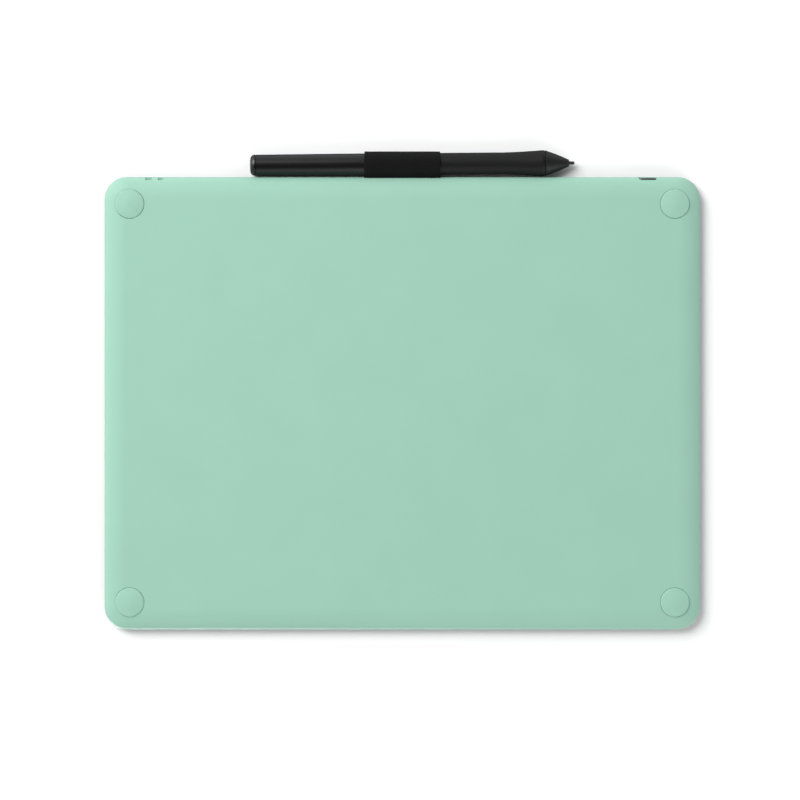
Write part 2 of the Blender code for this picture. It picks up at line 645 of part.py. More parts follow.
def pen_inside(pen):
    """The carrier with its circuit board, the switch contacts, and the spare nibs."""
    inner_radius = 0.0035
    carrier = rod("pen_carrier", inner_radius, 0.040, 0.108, "chip_plastic", pen, steps=ROUND_STEPS)
    cut(carrier, upright_box("carrier_cutter", (0.004, 0.005, 0.040), (0.0033, 0, 0.074), None, pen))
    upright_box("pen_circuit_board", (0.0003, 0.0028, 0.032), (0.0000, 0, 0.0755), "circuit_board", pen)
    for side, name in ((-1, "rear"), (1, "front")):
        place = (0.0016, 0, SWITCH_AT + side * 0.0065)
        upright_box(f"{name}_switch_contact", (0.0010, 0.0010, 0.0007), place, "steel", pen)
    holder = rod("spare_nib_holder", inner_radius, 0.016, 0.024, "chip_plastic", pen, steps=ROUND_STEPS)
    ring = 0.0019  # the spare nibs' distance from the pen's axis
    for number in range(3):
        angle = 2 * math.pi * number / 3
        place = (ring * math.cos(angle), ring * math.sin(angle), 0)
        rod(f"spare_nib_{number + 1}", NIB_RADIUS, 0.010, 0.034, "nib_plastic", pen, place)
        cut(holder, rod(f"spare_bore_{number}", NIB_RADIUS + GAP, 0.015, 0.025, None, pen, place))


def side_switch(pen):
    """The rocker and the pin it turns on; its empty stands on the pin's axis."""
    pivot = empty("side_switch_axis", (SWITCH_PIN_RISE, 0, SWITCH_AT), parent=pen)
    low, high = SWITCH_BASE - SWITCH_PIN_RISE, PEN_RADIUS + SWITCH_PROUD - SWITCH_PIN_RISE
    half = ((high - low) / 2, SWITCH_WIDTH / 2, SWITCH_LENGTH / 2)
    rocker = upright_box("side_switch", half, ((high + low) / 2, 0, 0), "key_plastic", pivot)
    edges = rocker.modifiers.new("soft edges", "BEVEL")
    edges.width = 0.0004
    edges.segments = 2
    join(rocker, upright_box("rocker_foot", (0.0014, 0.0009, 0.0014), (0.0001, 0, 0), None, pivot))
    hole = across_y("pin_hole", 0.0008, 0.004, None, pivot)
    cut(rocker, hole)
    across_y("side_switch_pin", 0.0005, 0.0044, "steel", pivot)


def across_y(name, radius, length, look, parent, steps=16):
    """A round pin along Y through its parent's origin."""
    rings = []
    for y in (-length / 2, length / 2):
        turn = [2 * math.pi * step / steps for step in range(steps)]
        rings.append([Vector((radius * math.cos(a), y, radius * math.sin(a))) for a in turn])
    return skin(name, rings, look, parent)


def build():
    clear_scene()
    tablet = empty("tablet_middle", (0, TABLET_Y, 0))
    bottom_cover(tablet)
    front_panel(tablet)
    drawing_sheet(tablet)
    feet_and_screws(tablet)
    sensor_stack(tablet)
    main_board(tablet)
    sensor_ribbon(tablet)
    usb_socket(tablet)
    keys(tablet)
    pen_loop(tablet)
    pen = empty("pen_axis", (PEN_TAIL_X, PEN_TAIL_Y, PEN_Z), (0, -math.pi / 2, -PEN_LEAN))
    tail_cap(pen)
    barrel(pen)
    grip(pen)
    nose(pen)
    nib(pen)
    pen_sensing(pen)
    pen_inside(pen)
    side_switch(pen)


build()
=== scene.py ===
"""A pen drawing tablet with its pen in a cloth loop: the finished look, as an add-on file.

Every length is in metres. The tablet stands on its feet at z = 0 with the drawing side up, +Y
points to the back edge with the pen, and the pen's nib points along -X.
"""

import json
import math

import bmesh
import bpy
from bpy.props import FloatProperty, FloatVectorProperty, PointerProperty
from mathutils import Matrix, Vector


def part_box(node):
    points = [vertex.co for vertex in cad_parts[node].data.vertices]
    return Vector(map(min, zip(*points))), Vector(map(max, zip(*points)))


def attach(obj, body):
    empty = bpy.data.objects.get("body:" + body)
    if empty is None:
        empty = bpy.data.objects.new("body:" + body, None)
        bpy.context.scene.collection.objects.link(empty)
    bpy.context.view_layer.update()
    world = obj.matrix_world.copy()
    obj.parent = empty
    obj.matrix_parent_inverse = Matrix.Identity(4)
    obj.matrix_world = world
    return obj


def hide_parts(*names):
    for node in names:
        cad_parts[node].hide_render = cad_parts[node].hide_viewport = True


bl_info = {
    "name": "Pen Drawing Tablet",
    "version": (1, 0, 0),
    "blender": (4, 5, 0),
    "location": "View3D > Sidebar > Drawing Tablet",
    "description": "Builds a pen drawing tablet, its pen and its studio round a fixed frame",
    "category": "Add Mesh",
}

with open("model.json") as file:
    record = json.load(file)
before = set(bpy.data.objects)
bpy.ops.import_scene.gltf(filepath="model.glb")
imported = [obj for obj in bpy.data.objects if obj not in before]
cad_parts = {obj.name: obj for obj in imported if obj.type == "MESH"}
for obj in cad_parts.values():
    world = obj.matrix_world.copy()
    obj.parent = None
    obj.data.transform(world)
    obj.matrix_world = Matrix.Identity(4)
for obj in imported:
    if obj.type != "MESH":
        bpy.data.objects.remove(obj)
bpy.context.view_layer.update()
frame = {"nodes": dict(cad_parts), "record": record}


# ---- Places read from the frame --------------------------------------------------------
def middle(node):
    """The middle of a node's box."""
    low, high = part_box(node)
    return (Vector(low) + Vector(high)) / 2


def extent(node):
    """The sides of a node's box."""
    low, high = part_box(node)
    return Vector(high) - Vector(low)


COVER_LOW, COVER_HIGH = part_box("bottom_cover")
CENTRE_X, CENTRE_Y, _ = middle("bottom_cover")
HALF_WIDTH = extent("bottom_cover").x / 2
HALF_DEPTH = extent("bottom_cover").y / 2
UNDERSIDE = COVER_LOW[2]
RIM = COVER_HIGH[2]
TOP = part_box("front_panel")[1][2]
BACK_EDGE = COVER_HIGH[1]
FOOT_NODES = [f"{row}_{side}_foot" for row in ("front", "back") for side in ("left", "right")]
KEY_NODES = [f"key_{number}" for number in range(1, 5)]
JOINTS = {joint["name"]: joint for joint in frame["record"]["behaviour"]["joints"]}
PEN_LINE = Vector(JOINTS["pen_out_of_loop"]["axis"])  # from the tail to the nib
ACROSS_PEN = Vector((0, 0, 1)).cross(PEN_LINE)
SWITCH_PIN = Vector(JOINTS["side_switch_rock"]["pos_m"])
SWITCH_AT = 0.100
PEN_Z = middle("pen_barrel").z
PEN_TAIL = Vector((SWITCH_PIN.x, SWITCH_PIN.y, PEN_Z)) - PEN_LINE * SWITCH_AT
LOOP_Y = PEN_TAIL.y - PEN_LINE.y * PEN_TAIL.x / PEN_LINE.x  # of the pen's line, at X = 0
SWITCH_HALF = (extent("side_switch").x / 2, 0.0013)


# ---- Sizes that no node's box gives ----------------------------------------------------
SEAM = 0.0003  # between two pieces of the casing
CORNER_SPREAD = 0.6  # how much of an inset a corner radius loses
TETHER_SLOTS = ((0.1122, 0.0031), (0.1069, 0.0025))  # where along the back edge, and how wide
TETHER_LOW, TETHER_HIGH = 0.0033, 0.0048
ACTIVE_HALF = (0.108, 0.0675)  # half the drawing area inside the corner marks
TRAY_FLOOR_HALF = (0.0735, 0.0058)
TRAY_TOP_HALF = (0.0790, 0.0095)
TRAY_DEPTH = 0.001
KEY_FLANGE = 0.0009  # how far a key's flange reaches past its cap
POWER_FLANGE = 0.0008
FLANGE_HEIGHT = 0.00055
LIGHT_HOLE = 0.0012  # radius
CAP_FLAT = 0.0029  # radius of the flat end of the pen's tail
CAP_EDGE = 0.0021  # length of its round edge
CAP_SPIGOT = 0.0036  # radius
SWELL_END = 0.050  # this and the next three are measured from the tail's end
FLARE_START = 0.110
FLARE_END = 0.1291
NOSE_BASE = 0.1307
PEN_AT_LOOP = 0.0049  # the pen's radius where the loop holds it


# ---- Settings a user would change ------------------------------------------------------
def length(name, description, default):
    """A length in metres."""
    return FloatProperty(
        name=name, description=description, default=default, min=0.0, precision=5, unit="LENGTH"
    )


def number(name, description, default, unit="NONE"):
    """A plain number, or one with a unit of Blender's."""
    return FloatProperty(name=name, description=description, default=default, unit=unit)


def colour(name, description, default):
    """A colour as red, green and blue shares of linear light."""
    return FloatVectorProperty(
        name=name, description=description, default=default, subtype="COLOR", size=3, min=0.0, max=1.0
    )


class CasingSettings(bpy.types.PropertyGroup):
    """Sizes and colours of the tablet's casing."""

    corner_radius: length("Corner Radius", "Radius of the casing's corners seen from above", 0.010)
    edge_roll: length("Edge Roll", "How far in the rolled edge of the cover reaches", 0.010)
    wall: length("Wall", "Thickness of the cover's wall", 0.0014)
    panel_edge: length("Panel Edge", "Radius of the top panel's outer edge", 0.0009)
    foot_dome: length("Foot Dome", "How far a foot falls away from its middle to its edge", 0.00066)
    foot_fill: length("Foot Fill", "How much a foot's rubber swells to fill its pocket", 0.00017)
    key_dish: length("Key Dish", "How deep a key's top is hollowed", 0.00012)
    mint: colour("Mint", "Colour of the bottom cover", (0.283, 0.500, 0.395))
    feet: colour("Feet", "Colour of the rubber feet", (0.283, 0.500, 0.395))
    black: colour("Black", "Colour of the top panel", (0.009, 0.009, 0.0094))
    film: colour("Film", "Colour of the drawing sheet", (0.011, 0.011, 0.0118))
    marks: colour("Marks", "Colour of the corner marks of the drawing area", (0.20, 0.20, 0.21))


class PenSettings(bpy.types.PropertyGroup):
    """Sizes and colours of the pen and its loop."""

    nib_tip: length("Nib Tip", "Radius of the nib's rounded tip", 0.0005)
    cloth: length("Cloth", "Thickness of the loop's band", 0.0005)
    rib_pitch: length("Rib Pitch", "Distance between the band's ribs", 0.00062)
    rib_height: length("Rib Height", "How far a rib stands out of the band", 0.00007)
    barrel: colour("Barrel", "Colour of the pen's satin barrel", (0.0034, 0.0034, 0.0036))
    grip: colour("Grip", "Colour of the soft grip", (0.0026, 0.0026, 0.0027))
    band: colour("Band", "Colour of the loop's cloth", (0.0026, 0.0026, 0.0027))


class StudioSettings(bpy.types.PropertyGroup):
    """The floor, the backdrop, the lights and the camera."""

    floor: colour("Floor", "Colour of the floor and of the backdrop", (0.93, 0.93, 0.93))
    floor_size: length("Floor Size", "Side of the floor", 2.4)
    lens: number("Lens", "Focal length of the camera", 100.0, "CAMERA")
    view_width: length("View Width", "Width that the camera sees at the casing's rim", 0.3548)
    key_power: number("Key Power", "Power of the key light", 61.5, "POWER")
    cove: number("Cove", "Brightness of the pale band round the studio", 1.2)
    cove_top: number("Cove Top", "Sine of the angle at which the band ends", 0.75)
    dark: number("Dark", "Brightness overhead and behind the camera", 0.04)


# ---- Mesh making -----------------------------------------------------------------------
def add_piece(name, bm, body, replaced=(), look=None, sharp=30.0):
    """An object from a bmesh that rides on a body and stands for the CAD nodes named."""
    bmesh.ops.remove_doubles(bm, verts=bm.verts, dist=1e-7)
    bmesh.ops.recalc_face_normals(bm, faces=bm.faces)
    mesh = bpy.data.meshes.new(name)
    bm.to_mesh(mesh)
    bm.free()
    mesh.shade_smooth()
    mesh.set_sharp_from_angle(angle=math.radians(sharp))
    piece = bpy.data.objects.new(name, mesh)
    bpy.context.scene.collection.objects.link(piece)
    if look:
        mesh.materials.append(look)
    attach(piece, body)
    if replaced:
        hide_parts(*replaced)
    return piece


def rounded_outline(half_x, half_y, radius, z, steps=16, centre=(0.0, 0.0)):
    """A rectangle with round corners at height z, as points in order."""
    points = []
    for corner, (side_x, side_y) in enumerate(((1, 1), (-1, 1), (-1, -1), (1, -1))):
        for step in range(steps + 1):
            angle = math.pi / 2 * (corner + step / steps)
            x = side_x * (half_x - radius) + radius * math.cos(angle)
            y = side_y * (half_y - radius) + radius * math.sin(angle)
            points.append(Vector((centre[0] + x, centre[1] + y, z)))
    return points


def skin_rings(bm, rings, hollow=False):
    """Faces from ring to ring; the ends are capped, or joined to each other."""
    loops = [[bm.verts.new(point) for point in ring] for ring in rings]
    pairs = list(zip(loops, loops[1:]))
    if hollow:
        pairs.append((loops[-1], loops[0]))
    else:
        bm.faces.new(loops[0])
        bm.faces.new(loops[-1])
    for low, high in pairs:
        for i in range(len(low)):
            j = (i + 1) % len(low)
            bm.faces.new((low[i], low[j], high[j], high[i]))


def turn_profile(bm, profile, steps, place, closed=False):
    """A form turned about a line: place(radius, turn, along) gives each point."""
    rings = []
    for radius, along in profile:
        turns = [2 * math.pi * step / steps for step in range(steps)]
        rings.append([place(radius, turn, along) for turn in turns])
    skin_rings(bm, rings, hollow=closed)


def turned_piece(name, profile, place, body, replaced, look, steps=96, closed=False):
    """A piece turned from its profile."""
    bm = bmesh.new()
    turn_profile(bm, profile, steps, place, closed)
    return add_piece(name, bm, body, [replaced], look)


def upright(centre):
    """Places a turned point round a vertical line through centre."""
    return lambda radius, turn, z: Vector(
        (centre[0] + radius * math.cos(turn), centre[1] + radius * math.sin(turn), z)
    )


def on_pen(along, across, up):
    """A point by its distance along the pen from the tail's end, across it and above its axis."""
    return PEN_TAIL + PEN_LINE * along - ACROSS_PEN * across + Vector((0, 0, up))


def along_pen(radius, turn, along):
    """Places a turned point round the pen's axis."""
    return on_pen(along, radius * math.cos(turn), radius * math.sin(turn))


def arc(centre, radius, start, end, steps):
    """Points (across, along) on an arc in a profile, angles in degrees."""
    points = []
    for step in range(steps + 1):
        angle = math.radians(start + (end - start) * step / steps)
        points.append((centre[0] + radius * math.cos(angle), centre[1] + radius * math.sin(angle)))
    return points


def smooth_step(share):
    """A share that starts and ends gently."""
    return share * share * (3 - 2 * share)


def cutter(name, rings):
    """A mesh for a Boolean cut."""
    bm = bmesh.new()
    skin_rings(bm, rings)
    bmesh.ops.remove_doubles(bm, verts=bm.verts, dist=1e-7)
    bmesh.ops.recalc_face_normals(bm, faces=bm.faces)
    mesh = bpy.data.meshes.new(name)
    bm.to_mesh(mesh)
    bm.free()
    obj = bpy.data.objects.new(name, mesh)
    bpy.context.scene.collection.objects.link(obj)
    return obj


def cut_all(piece, cutters):
    """Cuts each cutter out of the piece, keeps the result as its mesh and drops the cutters."""
    for tool in cutters:
        step = piece.modifiers.new(tool.name, "BOOLEAN")
        step.operation = "DIFFERENCE"
        step.object = tool
        step.solver = "EXACT"
    graph = bpy.context.evaluated_depsgraph_get()
    result = bpy.data.meshes.new_from_object(piece.evaluated_get(graph))
    piece.modifiers.clear()
    old = piece.data
    piece.data = result
    bpy.data.meshes.remove(old)
    result.name = piece.name
    result.shade_smooth()
    result.set_sharp_from_angle(angle=math.radians(28))
    for tool in cutters:
        bpy.data.objects.remove(tool, do_unlink=True)


# ---- Node groups -----------------------------------------------------------------------
def group(name, inputs, outputs):
    """An empty shader node group with its named sockets, its input and its output node."""
    tree = bpy.data.node_groups.new(name, "ShaderNodeTree")
    for label, kind, default in inputs:
        socket = tree.interface.new_socket(label, in_out="INPUT", socket_type=f"NodeSocket{kind}")
        if default is not None:
            socket.default_value = default
    for label, kind in outputs:
        tree.interface.new_socket(label, in_out="OUTPUT", socket_type=f"NodeSocket{kind}")
    return tree, tree.nodes.new("NodeGroupInput"), tree.nodes.new("NodeGroupOutput")


def node(tree, kind, settings=None, **inputs):
    """A node with its settings, its input values, and links from any sockets given."""
    made = tree.nodes.new(f"ShaderNode{kind}")
    for key, value in (settings or {}).items():
        setattr(made, key, value)
    for key, value in inputs.items():
        place = int(key[1:]) if key[0] == "i" and key[1:].isdigit() else key.replace("_", " ")
        if isinstance(value, bpy.types.NodeSocket):
            tree.links.new(value, made.inputs[place])
        else:
            made.inputs[place].default_value = value
    return made


def maths(tree, operation, first, second=0.0):
    """The result of one sum."""
    return node(tree, "Math", {"operation": operation}, i0=first, i1=second).outputs[0]


def between(tree, value, low, high, to_low=0.0, to_high=1.0):
    """The value's stretch from low to high, mapped on to_low to to_high and held there."""
    made = node(tree, "MapRange", None, Value=value, i1=low, i2=high, i3=to_low, i4=to_high)
    return made.outputs["Result"]


def moulded_grain():
    """The fine even texture of a moulded or sprayed surface, and its faint cloudiness."""
    name = "Moulded Grain"
    if name in bpy.data.node_groups:
        return bpy.data.node_groups[name]
    inputs = [
        ("Grain Size", "Float", 0.0003),
        ("Cloud Size", "Float", 0.03),
        ("Stretch", "Vector", (1, 1, 1)),
    ]
    tree, given, result = group(name, inputs, [("Height", "Float"), ("Cloud", "Float"), ("Speck", "Float")])
    place = node(tree, "TexCoord").outputs["Object"]
    drawn = node(tree, "VectorMath", {"operation": "MULTIPLY"}, i0=place, i1=given.outputs["Stretch"])
    place = drawn.outputs[0]
    fine_scale = maths(tree, "DIVIDE", 1.0, given.outputs["Grain Size"])
    cloud_scale = maths(tree, "DIVIDE", 1.0, given.outputs["Cloud Size"])
    fine = node(tree, "TexNoise", None, Vector=place, Scale=fine_scale, Detail=3.0, Roughness=0.55)
    cell = node(tree, "TexVoronoi", {"feature": "SMOOTH_F1"}, Vector=place, Scale=fine_scale, Smoothness=0.6)
    cloud = node(tree, "TexNoise", None, Vector=place, Scale=cloud_scale, Detail=4.0, Roughness=0.6)
    height = maths(tree, "ADD", fine.outputs[0], maths(tree, "MULTIPLY", cell.outputs["Distance"], 0.5))
    tree.links.new(height, result.inputs["Height"])
    tree.links.new(between(tree, cloud.outputs[0], 0.3, 0.7), result.inputs["Cloud"])
    tree.links.new(between(tree, fine.outputs[0], 0.55, 0.75), result.inputs["Speck"])
    return tree


def toned_colour():
    """A colour that drifts a little darker and lighter, and paler where an edge is rubbed."""
    name = "Toned Colour"
    if name in bpy.data.node_groups:
        return bpy.data.node_groups[name]
    inputs = [
        ("Colour", "Color", (0.5, 0.5, 0.5, 1)),
        ("Cloud", "Float", 0.5),
        ("Drift", "Float", 0.03),
        ("Rubbed", "Float", 0.05),
    ]
    tree, given, result = group(name, inputs, [("Colour", "Color"), ("Edge", "Float")])
    swing = maths(tree, "SUBTRACT", given.outputs["Cloud"], 0.5)
    twice = maths(tree, "MULTIPLY", given.outputs["Drift"], 2.0)
    value = maths(tree, "ADD", 1.0, maths(tree, "MULTIPLY", swing, twice))
    toned = node(tree, "HueSaturation", None, Color=given.outputs["Colour"], Value=value)
    bend = node(tree, "NewGeometry").outputs["Pointiness"]
    edge = between(tree, bend, 0.56, 0.68)
    share = maths(tree, "MULTIPLY", edge, given.outputs["Rubbed"])
    white = (1, 1, 1, 1)
    pale = node(tree, "MixRGB", {"blend_type": "ADD"}, Fac=share, Color1=toned.outputs[0], Color2=white)
    tree.links.new(pale.outputs[0], result.inputs["Colour"])
    tree.links.new(edge, result.inputs["Edge"])
    return tree


def place_group(tree, made, **inputs):
    """The group placed in a material's tree."""
    placed = tree.nodes.new("ShaderNodeGroup")
    placed.node_tree = made
    for key, value in inputs.items():
        label = key.replace("_", " ")
        if isinstance(value, bpy.types.NodeSocket):
            tree.links.new(value, placed.inputs[label])
        else:
            placed.inputs[label].default_value = value
    return placed


# ---- Materials -------------------------------------------------------------------------
def blank(name):
    """A material with only a Principled shader, and its tree."""
    look = bpy.data.materials.new(name)
    look.use_nodes = True
    return look, look.node_tree, look.node_tree.nodes["Principled BSDF"]


def bump(tree, shader, height, depth, strength=1.0):
    """Height as a bump of that depth in metres."""
    made = node(tree, "Bump", None, Strength=strength, Distance=depth, Height=height)
    tree.links.new(made.outputs["Normal"], shader.inputs["Normal"])
    return made


def toned(tree, rgb, surface, drift, rubbed):
    """The toned colour of a surface whose grain is given."""
    clouds = surface.outputs["Cloud"]
    tone = place_group(tree, toned_colour(), Colour=rgb, Cloud=clouds, Drift=drift, Rubbed=rubbed)
    return tone.outputs["Colour"]


def moulded(name, rgb, rough, grain, depth, drift=0.03, rubbed=0.03, metal=0.0, shine=0.5):
    """A moulded, sprayed or stamped surface: grain, faint clouds, rubbed edges."""
    if name in bpy.data.materials:
        return bpy.data.materials[name]
    look, tree, shader = blank(name)
    surface = place_group(tree, moulded_grain(), Grain_Size=grain)
    tree.links.new(toned(tree, (*rgb, 1), surface, drift, rubbed), shader.inputs["Base Color"])
    roughness = between(tree, surface.outputs["Cloud"], 0.0, 1.0, rough[0], rough[1])
    tree.links.new(roughness, shader.inputs["Roughness"])
    shader.inputs["Metallic"].default_value = metal
    shader.inputs["Specular IOR Level"].default_value = shine
    bump(tree, shader, surface.outputs["Height"], depth)
    return look


def mint_plastic(name, rgb, rough, grain, depth):
    """The cover's and the feet's pale matt finish, with a soft sheen at its shallow bump."""
    return moulded(name, rgb, rough, grain, depth, drift=0.012, rubbed=0.0, shine=0.26)


def woven_band(name, rgb, pitch):
    """Black elastic webbing: crosswise ribs, fine warp threads between them, a dull sheen, with a painted
    highlight on the raised weave and painted shade in its grooves.
    """
    look, tree, shader = blank(name)
    flat = node(tree, "UVMap", {"uv_map": "cloth"}).outputs[0]
    split = node(tree, "SeparateXYZ", None, Vector=flat)
    across = maths(tree, "MULTIPLY", split.outputs[0], 2 * math.pi / (pitch * 0.55))
    along = maths(tree, "MULTIPLY", split.outputs[1], 2 * math.pi / pitch)
    warp = maths(tree, "ABSOLUTE", maths(tree, "SINE", across))
    rib = maths(tree, "ABSOLUTE", maths(tree, "SINE", maths(tree, "MULTIPLY", along, 0.5)))
    weave = maths(tree, "MULTIPLY", maths(tree, "ADD", warp, 0.6), maths(tree, "ADD", rib, 0.4))
    surface = place_group(tree, moulded_grain(), Grain_Size=0.00016, Cloud_Size=0.008)
    fuzzy = maths(tree, "ADD", weave, maths(tree, "MULTIPLY", surface.outputs["Height"], 0.6))
    # Painted highlight and shade: the colour is lighter on the weave's raised tops and darker in its grooves.
    painted_highlight_share = between(tree, weave, 0.2, 1.8, 0.0, 1.0)
    light = tuple(min(1.0, channel * 2.4) for channel in rgb)
    highlighted_thread = node(tree, "MixRGB", None, Fac=painted_highlight_share, Color1=(*rgb, 1), Color2=(*light, 1))
    tree.links.new(toned(tree, highlighted_thread.outputs[0], surface, 0.12, 0.0), shader.inputs["Base Color"])
    shader.inputs["Roughness"].default_value = 0.85
    shader.inputs["Specular IOR Level"].default_value = 0.12
    shader.inputs["Sheen Weight"].default_value = 0.02
    shader.inputs["Sheen Roughness"].default_value = 0.45
    bump(tree, shader, fuzzy, 0.00006)
    return look


def corner_marks(tree, centre, half, thin=0.00025, arm=0.0035):
    """A mask of the four corner angles of a rectangle, from its thin lines' ends."""
    place = node(tree, "SeparateXYZ", None, Vector=node(tree, "TexCoord").outputs["Object"])
    on_line, in_arm = [], []
    for axis in (0, 1):
        offset = maths(tree, "ABSOLUTE", maths(tree, "SUBTRACT", place.outputs[axis], centre[axis]))
        reach = maths(tree, "SUBTRACT", offset, half[axis])
        on_line.append(maths(tree, "LESS_THAN", maths(tree, "ABSOLUTE", reach), thin))
        inside = maths(tree, "GREATER_THAN", reach, -arm)
        in_arm.append(maths(tree, "MULTIPLY", inside, maths(tree, "LESS_THAN", reach, thin)))
    upright_arm = maths(tree, "MULTIPLY", on_line[0], in_arm[1])
    return maths(tree, "MAXIMUM", upright_arm, maths(tree, "MULTIPLY", on_line[1], in_arm[0]))


def drawing_film(name, rgb, mark_rgb, centre, half):
    """The paper-like film with small corner marks of the drawing area."""
    look, tree, shader = blank(name)
    surface = place_group(tree, moulded_grain(), Grain_Size=0.00022, Cloud_Size=0.05)
    ground = toned(tree, (*rgb, 1), surface, 0.05, 0.0)
    marks = corner_marks(tree, centre, half)
    marked = node(tree, "MixRGB", None, Fac=marks, Color1=ground, Color2=(*mark_rgb, 1))
    tree.links.new(marked.outputs[0], shader.inputs["Base Color"])
    rough = between(tree, surface.outputs["Speck"], 0.0, 1.0, 0.68, 0.80)
    tree.links.new(rough, shader.inputs["Roughness"])
    shader.inputs["Specular IOR Level"].default_value = 0.28
    bump(tree, shader, surface.outputs["Height"], 0.000018)
    return look


def satin_barrel(name, rgb):
    """The barrel's satin plastic, drawn out along the pen."""
    look, tree, shader = blank(name)
    along = (0.25, 1.0, 1.0)
    surface = place_group(tree, moulded_grain(), Grain_Size=0.0003, Cloud_Size=0.02, Stretch=along)
    tree.links.new(toned(tree, (*rgb, 1), surface, 0.06, 0.001), shader.inputs["Base Color"])
    tree.links.new(between(tree, surface.outputs["Cloud"], 0, 1, 0.30, 0.38), shader.inputs["Roughness"])
    shader.inputs["Specular IOR Level"].default_value = 0.36
    bump(tree, shader, surface.outputs["Height"], 0.000006)
    return look


def clear_plastic(name):
    """The milky light guide."""
    look, tree, shader = blank(name)
    surface = place_group(tree, moulded_grain(), Grain_Size=0.0004)
    dull, clear = (0.70, 0.74, 0.76, 1), (0.82, 0.85, 0.86, 1)
    tint = node(tree, "MixRGB", None, Fac=surface.outputs["Cloud"], Color1=dull, Color2=clear)
    tree.links.new(tint.outputs[0], shader.inputs["Base Color"])
    shader.inputs["Roughness"].default_value = 0.22
    shader.inputs["Transmission Weight"].default_value = 0.35
    bump(tree, shader, surface.outputs["Height"], 0.000004)
    return look


def one_sided(name, rgb, painted_shade_reach):
    """A matt surface that shows only from its front; its colour is darkened towards dark grey with painted
    contact shade where something stands this close to it.
    """
    look, tree, shader = blank(name)
    # Painted shade: ambient occlusion darkens the colour near other things, a painted contact shadow on the
    # floor and the backdrop.
    painted_shade_occlusion = node(tree, "AmbientOcclusion", {"samples": 8}, Distance=painted_shade_reach).outputs["AO"]
    open_share = maths(tree, "POWER", painted_shade_occlusion, 2.0)
    painted_shade_colour = node(tree, "MixRGB", None, Fac=open_share, Color1=(0.05, 0.05, 0.05, 1), Color2=(*rgb, 1))
    tree.links.new(painted_shade_colour.outputs[0], shader.inputs["Base Color"])
    shader.inputs["Roughness"].default_value = 0.9
    shader.inputs["Specular IOR Level"].default_value = 0.1
    clear = node(tree, "BsdfTransparent")
    back = node(tree, "NewGeometry").outputs["Backfacing"]
    chosen = node(tree, "MixShader", None, i0=back, i1=shader.outputs[0], i2=clear.outputs[0])
    tree.links.new(chosen.outputs[0], tree.nodes["Material Output"].inputs["Surface"])
    return look


# ---- The casing ------------------------------------------------------------------------
def casing_outline(radius, inset, z, steps=20):
    """The casing's outline moved in by inset."""
    return rounded_outline(
        HALF_WIDTH - inset, HALF_DEPTH - inset, radius - CORNER_SPREAD * inset, z, steps, (CENTRE_X, CENTRE_Y)
    )


def roll_height(inset, reach):
    """How far the rolled edge rises above the flat underside at this inset."""
    share = max(0.0, 1 - inset / reach)
    return (RIM - UNDERSIDE) * (1 - math.sqrt(max(0.0, 1 - share * share)))


def inset_at(x, y, radius, reach):
    """How far in from the casing's edge a point is, by the outlines of casing_outline."""
    low, high = 0.0, reach
    for _ in range(30):
        inset = (low + high) / 2
        corner = radius - CORNER_SPREAD * inset
        over_x = abs(x - CENTRE_X) - (HALF_WIDTH - inset - corner)
        over_y = abs(y - CENTRE_Y) - (HALF_DEPTH - inset - corner)
        away = math.hypot(max(over_x, 0), max(over_y, 0)) + min(max(over_x, over_y), 0)
        low, high = (low, inset) if away > corner else (inset, high)
    return (low + high) / 2


def foot_pocket(name, reach, corner):
    """A cutter that follows the rolled edge, with a small chamfer where it breaks out."""
    foot = middle(name)
    wide = extent(name).x / 2 + 0.00022
    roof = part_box(name)[1][2] + SEAM
    chamfer = 0.00007
    turns = [2 * math.pi * step / 72 for step in range(72)]

    def ring(across, height):
        points = []
        for turn in turns:
            x, y = foot.x + across * math.cos(turn), foot.y + across * math.sin(turn)
            base = UNDERSIDE + roll_height(inset_at(x, y, corner, reach), reach)
            points.append(Vector((x, y, roof if height is None else base + height)))
        return points

    rings = [ring(wide, None), ring(wide, chamfer), ring(wide + chamfer, 0.0)]
    rings.append(ring(wide + 3 * chamfer, -2 * chamfer))
    rings.append([Vector((point.x, point.y, -0.002)) for point in rings[-1]])
    return cutter(f"pocket_{name}", rings)


def slot_cutter(name, middle_x, half_x, low_z, high_z, radius, depth):
    """A cutter that runs into the back edge, with a rounded mouth seen from behind."""
    outline = rounded_outline(half_x, (high_z - low_z) / 2, radius, 0, 6)
    height = (low_z + high_z) / 2
    rings = []
    for y in (BACK_EDGE - depth, BACK_EDGE + 0.002):
        rings.append([Vector((middle_x + point.x, y, height + point.y)) for point in outline])
    return cutter(name, rings)


